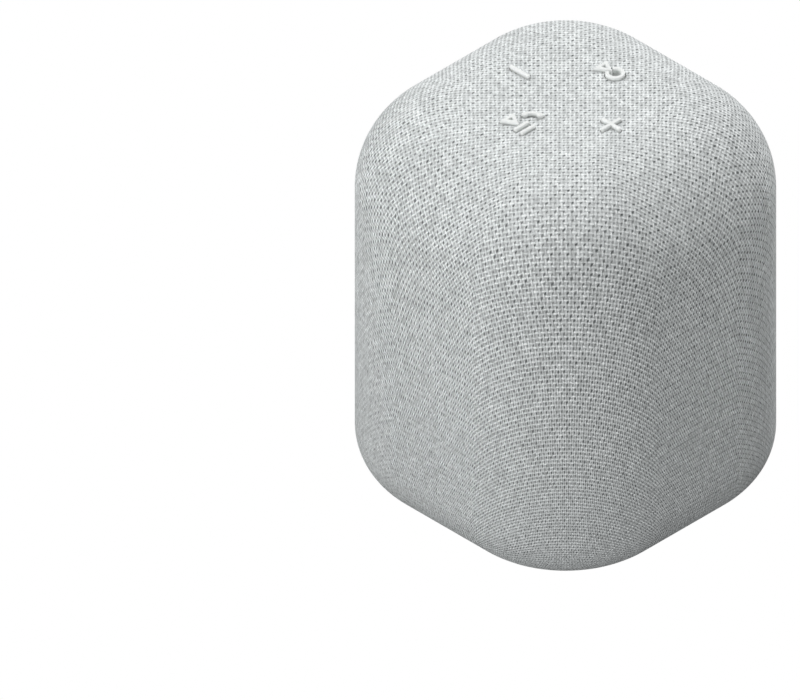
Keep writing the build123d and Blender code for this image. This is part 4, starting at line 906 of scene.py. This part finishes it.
@dataclass
class Sleeve:
    """The woven sleeve, drawn over the shell from the top's centre down to the hem under the base.

    Attributes:
        half: Half the width.
        corner: The radius of the upright corners.
        top: The height of the top.
        top_round: The radius of the top edge.
        bottom: The height of the hem.
        base_round: The radius of the lower edge.
        hem: How far the hem runs in under the base.
        thickness: The cloth's thickness.
        columns: Faces round the sleeve.
        rows: Faces from the centre of the top to the hem.
        round_steps: Steps round each rounded corner and edge.
        crease: The turn in degrees past which two faces meet in a sharp edge.
        panel: Width and height of the opening for the rear panel.
        panel_height: The height of that opening's middle.
        plug_share: How much of the top's flat the blank of the symbols' plugs covers.
        draw: Path from the top's centre, and how far out on the flat cloth it lies, both in metres.
    """

    half: float = 44.5 * MM
    corner: float = 31.0 * MM
    top: float = 110.0 * MM
    top_round: float = 25.5 * MM
    bottom: float = 0.8 * MM
    base_round: float = 15.5 * MM
    hem: float = 18.2 * MM
    thickness: float = 0.8 * MM
    columns: int = 192
    rows: int = 132
    round_steps: int = 64
    crease: float = 50.0
    panel: tuple[float, float] = (17.3 * MM, 46.3 * MM)
    panel_height: float = 48.0 * MM
    plug_share: float = 0.99
    draw: tuple[tuple[float, float], ...] = (
        (0.045, 0.045),
        (0.065, 0.0626),
        (0.085, 0.0784),
        (0.106, 0.0963),
        (0.121, 0.1111),
        (0.131, 0.1228),
        (0.160, 0.1593),
    )

    def tree(self, material: bpy.types.Material) -> bpy.types.NodeTree:
        """Build the tree that forms the cloth on the rounded square and lays the weave on it.

        Args:
            material: The cloth's material.

        Returns:
            The tree, whose inputs are the sleeve's sizes.
        """
        lengths = ("Half Width", "Corner Radius", "Top", "Top Radius", "Bottom", "Base Radius", "Hem")
        counts = ("Columns", "Rows")
        shape = ShapeTree(
            "drawn_sleeve", dict.fromkeys(lengths, "NodeSocketFloat") | dict.fromkeys(counts, "NodeSocketInt")
        )
        graph = shape.graph
        half, corner = shape.size("Half Width"), shape.size("Corner Radius")
        top_round, base_round = shape.size("Top Radius"), shape.size("Base Radius")
        columns, rows = (shape.size(label) for label in counts)
        grid = graph.add(
            "GeometryNodeMeshGrid",
            {"Size X": 1.0, "Size Y": 1.0, "Vertices X": columns + 1.0, "Vertices Y": rows + 1.0},
        )
        place = graph.add("GeometryNodeInputPosition").outputs[0]
        grid_x, grid_y, _ = graph.split(place)

        def rounded(curve: bpy.types.Node, radius: Field) -> bpy.types.Node:
            """Round the corners of a curve."""
            sizes = {"Curve": curve.outputs[0], "Count": self.round_steps, "Radius": radius}
            return graph.add("GeometryNodeFilletCurve", sizes, mode="POLY")

        def along_curve(curve: bpy.types.Node, part: Field) -> tuple[Field, Field, Field]:
            """Return the place at that part of a curve's length."""
            sample = graph.add("GeometryNodeSampleCurve", {"Curves": curve.outputs[0], "Factor": part})
            return graph.split(sample.outputs["Position"])

        side = half * 2.0
        square = graph.add("GeometryNodeCurvePrimitiveQuadrilateral", {"Width": side, "Height": side})
        plan_x, plan_y, _ = along_curve(rounded(square, corner), grid_x + 0.5)

        edge = graph.add(
            "GeometryNodeCurvePrimitiveQuadrilateral",
            {
                "Point 1": graph.join(0.0, shape.given["Top"]),
                "Point 2": graph.join(half, shape.given["Top"]),
                "Point 3": graph.join(half, shape.given["Bottom"]),
                "Point 4": graph.join(half - shape.size("Hem"), shape.given["Bottom"]),
            },
            mode="POINTS",
        )
        line = graph.add("GeometryNodeSetSplineCyclic", {0: edge.outputs[0], "Cyclic": False})
        between_edges = 1.5
        upper = graph.math("LESS_THAN", graph.add("GeometryNodeInputIndex").outputs[0], between_edges)
        profile = rounded(line, base_round + (top_round - base_round) * upper)
        share = grid_y + 0.5
        out, height, _ = along_curve(profile, share)

        flat = half - top_round
        inset = graph.math("MINIMUM", half - out, top_round)
        shrink = graph.math("MINIMUM", out / flat, 1.0)
        core = half - corner

        def ring(along: Field, drawn_in: Field) -> Field:
            """Return one coordinate of the plan, drawn in square to its edge."""
            centre = graph.math("MAXIMUM", graph.math("MINIMUM", along, core), core * -1.0)
            return centre + (along - centre) * (1.0 - drawn_in / corner)

        x, y = (ring(along, inset) * shrink for along in (plan_x, plan_y))
        rim_x, rim_y = (ring(along, top_round) for along in (plan_x, plan_y))
        rim = graph.math("SQRT", rim_x * rim_x + rim_y * rim_y)
        length = Field(graph, graph.add("GeometryNodeCurveLength", {0: profile.outputs[0]}).outputs[0])
        path = rim * shrink + graph.math("MAXIMUM", share * length - flat, 0.0)

        reach = CLOTH_SPAN / 2
        drawn = graph.add("ShaderNodeFloatCurve", {"Value": path / reach})
        curve = drawn.mapping.curves[0]
        for along, radius in self.draw:
            curve.points.new(along / reach, radius / reach)
        drawn.mapping.update()
        from_centre = graph.math("SQRT", (x * x + y * y) * 2.0)
        spread = Field(graph, drawn.outputs[0]) * 0.5 / graph.math("MAXIMUM", from_centre, NEAR_NOTHING)
        cloth = graph.join((x + y) * spread + 0.5, (y - x) * spread + 0.5)

        laid = graph.add(
            "GeometryNodeStoreNamedAttribute",
            {"Geometry": grid.outputs[0], "Name": UV_LAYER},
            data_type="FLOAT2",
            domain="CORNER",
        )
        graph.feed(laid.inputs["Value"], cloth)
        shaped = graph.join(x, y, height)
        formed = graph.add("GeometryNodeSetPosition", {"Geometry": laid.outputs[0], "Position": shaped})
        sewn = graph.add(
            "GeometryNodeMergeByDistance", {"Geometry": formed.outputs[0], "Distance": NEAR_NOTHING}
        )
        outward = graph.add("GeometryNodeFlipFaces", {"Mesh": sewn.outputs[0]})
        return shape.close(outward.outputs[0], material)

    def panel_cutter(self) -> bpy.types.Object:
        """Make the round-ended block that opens the cloth for the rear panel.

        Returns:
            The block, which is deleted after the cut.
        """
        width, height = self.panel
        steps, near, far = 24, self.half * 0.75, self.half * 1.1
        mesh = bmesh.new()
        outline = []
        for side in (1, -1):
            for step in range(steps + 1):
                turn = math.pi * step / steps
                x = side * width / 2 * math.cos(turn)
                z = side * (width / 2 * math.sin(turn) + (height - width) / 2)
                outline.append(mesh.verts.new((x, near, self.panel_height + z)))
        face = mesh.faces.new(outline)
        grown = bmesh.ops.extrude_face_region(mesh, geom=[face])["geom"]
        moved = [item for item in grown if isinstance(item, bmesh.types.BMVert)]
        bmesh.ops.translate(mesh, vec=(0, far - near, 0), verts=moved)
        bmesh.ops.recalc_face_normals(mesh, faces=mesh.faces)
        block = put("panel_cutter", bpy.data.meshes.new("panel_cutter"))
        mesh.to_mesh(block.data)
        mesh.free()
        return block

    def symbol_cutter(self, cloth: bpy.types.Object) -> bpy.types.Object:
        """Make the plugs that fill the CAD cloth's openings for the key symbols, tall enough to cut through.

        Args:
            cloth: The CAD model's sleeve.

        Returns:
            The plugs, which are deleted after the cut.
        """
        middle, thin = self.top - self.thickness / 2, self.thickness / 2
        flat = (self.half - self.top_round) * 2 * self.plug_share
        mesh = bmesh.new()
        size = Matrix.Diagonal((flat, flat, thin, 1.0))
        bmesh.ops.create_cube(mesh, size=1.0, matrix=Matrix.Translation((0.0, 0.0, middle)) @ size)
        plugs = put("symbol_cutter", bpy.data.meshes.new("symbol_cutter"))
        mesh.to_mesh(plugs.data)
        mesh.free()
        self.cut(plugs, cloth)
        settle(plugs)
        for vertex in plugs.data.vertices:
            vertex.co.z += math.copysign(self.thickness, vertex.co.z - middle)
        return plugs

    @staticmethod
    def cut(piece: bpy.types.Object, cutter: bpy.types.Object) -> None:
        """Give a piece a modifier that cuts the other's form out of it."""
        opening = piece.modifiers.new(cutter.name, "BOOLEAN")
        opening.operation = "DIFFERENCE"
        opening.solver = "EXACT"
        opening.object = cutter

    def build(self, material: bpy.types.Material, cloth: bpy.types.Object) -> bpy.types.Object:
        """Form the cloth, give it its thickness and cut its openings.

        Args:
            material: The cloth's material.
            cloth: The CAD model's sleeve.

        Returns:
            The sleeve.
        """
        sizes = {
            "Half Width": self.half,
            "Corner Radius": self.corner,
            "Top": self.top,
            "Top Radius": self.top_round,
            "Bottom": self.bottom,
            "Base Radius": self.base_round,
            "Hem": self.hem,
            "Columns": self.columns,
            "Rows": self.rows,
        }
        sleeve = modified_mesh("cloth_sleeve", self.tree(material), sizes)
        wall = sleeve.modifiers.new("thickness", "SOLIDIFY")
        wall.thickness = self.thickness
        wall.offset = -1.0
        cutters = (self.panel_cutter(), self.symbol_cutter(cloth))
        for cutter in cutters:
            self.cut(sleeve, cutter)
        settle(sleeve)
        for cutter in cutters:
            bpy.data.meshes.remove(cutter.data)
        sleeve.data.set_sharp_from_angle(angle=math.radians(self.crease))
        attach(sleeve, "housing")
        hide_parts("fabric_sleeve")
        return sleeve


class Sign(Enum):
    """Plain control signs on the rear keys."""

    POWER = "power"
    PAIRING = "pairing"


@dataclass
class RearSign:
    """A raised control sign on a rear key.

    Attributes:
        sign: Which sign it is.
        height: The height of the key's middle.
        key_face: The distance of the key's face behind the middle of the speaker.
        stroke: The radius of the raised line.
        proud: How far the line stands out of the key.
        arc_steps: Steps along each arc.
        round_steps: Steps round the line.
    """

    sign: Sign
    height: float
    key_face: float = 44.4 * MM
    stroke: float = 0.24 * MM
    proud: float = 0.1 * MM
    arc_steps: int = 32
    round_steps: int = 12

    def arcs(self) -> tuple[tuple[float, float, float], ...]:
        """Return radius in metres, start and sweep in degrees of each arc of the sign."""
        if self.sign is Sign.POWER:
            return ((1.7 * MM, 125.0, 290.0),)
        radii, starts, sweep = (1.1 * MM, 2.1 * MM), (-45.0, 135.0), 90.0
        return tuple((radius, start, sweep) for radius in radii for start in starts)

    def bar(self) -> tuple[float, float]:
        """Return the lower and upper end of the upright line in the sign."""
        return (0.3 * MM, 2.1 * MM) if self.sign is Sign.POWER else (-0.02 * MM, 0.02 * MM)

    def tree(self, material: bpy.types.Material) -> bpy.types.NodeTree:
        """Build the tree that draws the sign and sets it on the key.

        Args:
            material: The sign's material.

        Returns:
            The tree, whose inputs are the stroke and the place.
        """
        sizes = {"Stroke": "NodeSocketFloat", "Place": "NodeSocketVector"}
        shape = ShapeTree(f"{self.sign.value}_sign", sizes)
        graph = shape.graph
        low, high = self.bar()
        ends = {"Start": (0.0, low, 0.0), "End": (0.0, high, 0.0)}
        line = graph.add("GeometryNodeCurvePrimitiveLine", ends)
        join = graph.add("GeometryNodeJoinGeometry", {0: line.outputs[0]})
        for radius, start, sweep in self.arcs():
            arc = graph.add(
                "GeometryNodeCurveArc",
                {
                    "Resolution": self.arc_steps,
                    "Radius": radius,
                    "Start Angle": math.radians(start),
                    "Sweep Angle": math.radians(sweep),
                },
            )
            graph.feed(join.inputs[0], arc.outputs[0])
        section = graph.add(
            "GeometryNodeCurvePrimitiveCircle",
            {"Resolution": self.round_steps, "Radius": shape.given["Stroke"]},
        )
        tube = graph.add(
            "GeometryNodeCurveToMesh",
            {"Curve": join.outputs[0], "Profile Curve": section.outputs[0], "Fill Caps": True},
        )
        placed = graph.add(
            "GeometryNodeTransform",
            {
                "Geometry": tube.outputs[0],
                "Translation": shape.given["Place"],
                "Rotation": (math.radians(90), 0.0, math.radians(180)),
            },
        )
        return shape.close(placed.outputs[0], material)

    def build(self, material: bpy.types.Material) -> bpy.types.Object:
        """Draw the sign and fix it to its key.

        Args:
            material: The sign's material.

        Returns:
            The sign.
        """
        place = (0.0, self.key_face + self.proud - self.stroke, self.height)
        name = f"{self.sign.value}_sign"
        piece = settle(modified_mesh(name, self.tree(material), {"Stroke": self.stroke, "Place": place}))
        piece.data.set_sharp_from_angle(angle=CREASE)
        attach(piece, f"{self.sign.value}_key_body")
        return piece


REAR_SIGNS = (RearSign(Sign.POWER, height=62.0 * MM), RearSign(Sign.PAIRING, height=50.0 * MM))


@dataclass(frozen=True)
class RollingRing:
    """A soft ring of a driver or radiator, whose inner lip moves with the stroke while the outer lip stays.

    Attributes:
        node: The CAD model's ring.
        slot: The ring's material slot. Not used.
        body: The body that carries the inner lip. Not used.
        across: The level axis that lies across the ring, 0 for X and 1 for Y.
        height: The height of the ring's middle.
        moves: How far out from its middle line the ring moves with the stroke. Not used.
        stays: How far out it stays in the frame. Not used.
        straight: Half the length of the upright straight sides.
    """

    node: str
    slot: Slot
    body: str
    across: int
    height: float
    moves: float
    stays: float
    straight: float = 0.0

    def distance(self, place: Vector) -> float:
        """Return how far a place lies from the ring's middle line."""
        beyond = max(abs(place.z - self.height) - self.straight, 0.0)
        return math.hypot(place[self.across], beyond)

    def build(self, frame: dict) -> bpy.types.Object:
        """Copy the CAD ring, with its loose triangles merged, and hide the CAD ring.

        The copy is laid out along a line by each place's distance from the ring's middle line, and then put
        back where it was.

        Returns:
            The ring.
        """
        piece = put(f"rolling_{self.node}", frame["nodes"][self.node].data.copy())
        joined = bmesh.new()
        joined.from_mesh(piece.data)
        bmesh.ops.remove_doubles(joined, verts=joined.verts, dist=SAME_PLACE)
        joined.to_mesh(piece.data)
        joined.free()
        piece.data.set_sharp_from_angle(angle=CREASE)
        vertices = piece.data.vertices
        places = [vertex.co.copy() for vertex in vertices]
        for vertex, place in zip(vertices, places):
            vertex.co = (self.distance(place), 0.0, 0.0)
        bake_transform(piece)
        for vertex, place in zip(vertices, places):
            vertex.co = place
        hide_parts(self.node)
        return piece


WOOFER_HEIGHT = 53.6 * MM
TWEETER_HEIGHT = 84.7 * MM
RADIATOR_HEIGHT = 62.0 * MM
ROLLING_RINGS = (
    RollingRing(
        "woofer_surround",
        Slot.DRIVER_RUBBER,
        "woofer_moving",
        across=0,
        height=WOOFER_HEIGHT,
        moves=15.4 * MM,
        stays=18.7 * MM,
    ),
    RollingRing(
        "woofer_spider",
        Slot.CONE_PAPER,
        "woofer_moving",
        across=0,
        height=WOOFER_HEIGHT,
        moves=8.5 * MM,
        stays=12.5 * MM,
    ),
    RollingRing(
        "tweeter_surround",
        Slot.DRIVER_RUBBER,
        "tweeter_moving",
        across=0,
        height=TWEETER_HEIGHT,
        moves=4.1 * MM,
        stays=4.8 * MM,
    ),
    *(
        RollingRing(
            f"radiator_surround_{hand}",
            Slot.DRIVER_RUBBER,
            f"radiator_{hand}_moving",
            across=1,
            height=RADIATOR_HEIGHT,
            moves=12.1 * MM,
            stays=16.7 * MM,
            straight=7.0 * MM,
        )
        for hand in ("left", "right")
    ),
)


@dataclass(frozen=True)
class SoftBox:
    """A round soft light.

    Attributes:
        name: The light's name.
        azimuth: Its turn round the speaker in degrees, from the right-hand side.
        elevation: Its height above the horizon in degrees.
        level: The light that it throws on a surface square to it, where 1 shows a colour as it is.
        size: Its diameter.
        distance: Its distance.
    """

    name: str
    azimuth: float
    elevation: float
    level: float
    size: float
    distance: float = 1.4

    def build(self, aim: Vector) -> bpy.types.Object:
        """Hang the light.

        Args:
            aim: The point that it shines on.

        Returns:
            The light.
        """
        turn, rise = math.radians(self.azimuth), math.radians(self.elevation)
        toward = Vector((math.cos(turn) * math.cos(rise), math.sin(turn) * math.cos(rise), math.sin(rise)))
        lamp = bpy.data.lights.new(self.name, "AREA")
        lamp.shape = "DISK"
        lamp.size = self.size
        lamp.energy = self.level * (math.pi * self.distance) ** 2
        box = put(self.name, lamp)
        box.location = aim + toward * self.distance
        box.rotation_mode = "QUATERNION"
        box.rotation_quaternion = toward.to_track_quat("Z", "Y")
        return box


@dataclass
class Studio:
    """Floor, light and camera.

    Attributes:
        pixels: Pixels to the metre across the picture.
        frame: Width and height of the picture in pixels.
        aim: The point of the speaker that the camera is set by.
        aim_pixel: Where that point lies in the picture.
        azimuth: The camera's turn round the speaker in degrees.
        elevation: The camera's height above the horizon in degrees.
        sky: The level of the light from all round.
        ground: How much of the light the floor throws back.
        reach: Half the floor's width in metres.
        boxes: The soft lights.
    """

    pixels: float = 4207.5
    frame: tuple[int, int] = (800, 700)
    aim: tuple[float, float, float] = (0.0, 0.0, 0.0554)
    aim_pixel: tuple[float, float] = (565.5, 287.24)
    azimuth: float = 45.0
    elevation: float = 35.264
    sky: float = 0.258
    ground: float = 0.3
    reach: float = 3.0
    boxes: tuple[SoftBox, ...] = (
        SoftBox("front_box", azimuth=-70.0, elevation=6.0, level=0.435, size=0.5),
        SoftBox("rear_box", azimuth=90.0, elevation=45.0, level=0.59, size=0.9),
        SoftBox("left_box", azimuth=-150.0, elevation=45.0, level=0.46, size=0.9),
    )

    def camera(self) -> bpy.types.Object:
        """Place the camera for a parallel view from above one corner.

        Returns:
            The camera.
        """
        turn, rise = math.radians(self.azimuth), math.radians(self.elevation)
        right = Vector((math.cos(turn), math.sin(turn), 0))
        back = Vector((math.sin(turn) * math.cos(rise), -math.cos(turn) * math.cos(rise), math.sin(rise)))
        up = back.cross(right)
        across = (self.aim_pixel[0] - self.frame[0] / 2) / self.pixels
        above = (self.frame[1] / 2 - self.aim_pixel[1]) / self.pixels
        lens = bpy.data.cameras.new("camera")
        lens.type = "ORTHO"
        lens.ortho_scale = self.frame[0] / self.pixels
        camera = put("camera", lens)
        camera.location = Vector(self.aim) - right * across - up * above + back
        camera.rotation_mode = "QUATERNION"
        camera.rotation_quaternion = (-back).to_track_quat("-Z", "Y")
        bpy.context.scene.camera = camera
        return camera

    def floor(self) -> bpy.types.Object:
        """Lay the pale floor, which shows as plain white and throws some light back up.

        Returns:
            The floor.
        """
        surface = Surface("pale_floor")
        graph = surface.graph
        surface.set(Base_Color=grey(self.ground), Roughness=0.95, Specular_IOR_Level=0.0)
        glow = graph.add("ShaderNodeEmission", {"Color": grey(1.0), "Strength": 1.0})
        matt = surface.shader.outputs[0]
        lit = graph.add("ShaderNodeMixShader", {0: graph.shown(), 1: matt, 2: glow.outputs[0]})
        clear = graph.add("ShaderNodeBsdfTransparent")
        under = graph.add("ShaderNodeNewGeometry").outputs["Backfacing"]
        whole = graph.add("ShaderNodeMixShader", {0: under, 1: lit.outputs[0], 2: clear.outputs[0]})
        graph.feed(surface.material.node_tree.nodes["Material Output"].inputs["Surface"], whole.outputs[0])
        mesh = bpy.data.meshes.new("floor")
        corners = ((-1, -1), (1, -1), (1, 1), (-1, 1))
        mesh.from_pydata([(x * self.reach, y * self.reach, 0) for x, y in corners], [], [(0, 1, 2, 3)])
        mesh.materials.append(surface.material)
        floor = put("floor", mesh)
        return floor

    def light(self) -> None:
        """Light the speaker softly from the front, the left and behind, under a pale sky."""
        world = bpy.data.worlds.new("pale_sky")
        bpy.context.scene.world = world
        world.use_nodes = True
        graph = Graph(world.node_tree)
        sheet = world.node_tree.nodes["Background"]
        graph.feed(sheet.inputs["Color"], grey(1.0))
        graph.feed(sheet.inputs["Strength"], self.sky + (1.0 - self.sky) * graph.shown())
        for box in self.boxes:
            box.build(Vector(self.aim))

    def build(self) -> None:
        """Set the stage."""
        self.camera()
        self.floor()
        self.light()
        bpy.context.scene.view_settings.view_transform = "Standard"


def dress_nodes(frame: dict, materials: dict[Slot, bpy.types.Material]) -> None:
    """Give every solid of the frame its material.

    Args:
        materials: The material of each slot.
    """
    for part in frame["record"]["subparts"]:
        solid = frame["nodes"][part["node"]]
        material = materials[Slot(part["material_slot"])]
        if not solid.material_slots:
            solid.data.materials.append(material)
        for place in solid.material_slots:
            place.material = material
        LOG.info("%s in %s", part["node"], material.name)


def main() -> None:
    """Build and dress the speaker, piece by piece, and set the stage."""
    logging.basicConfig(level=logging.INFO, format="%(name)s: %(message)s")
    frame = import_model()
    materials = {slot: finish.material(f"{slot.value}_finish") for slot, finish in FINISHES.items()}
    dress_nodes(frame, materials)
    pieces = [Sleeve().build(materials[Slot.WOVEN_CLOTH], frame["nodes"]["fabric_sleeve"])]
    pieces.extend(sign.build(materials[Slot.SHELL_PLASTIC]) for sign in REAR_SIGNS)
    pieces.extend(ring.build(frame) for ring in ROLLING_RINGS)
    for piece in pieces:
        LOG.info("%s: %d faces", piece.name, len(piece.data.polygons))
    Studio().build()


if __name__ == "__main__":
    main()
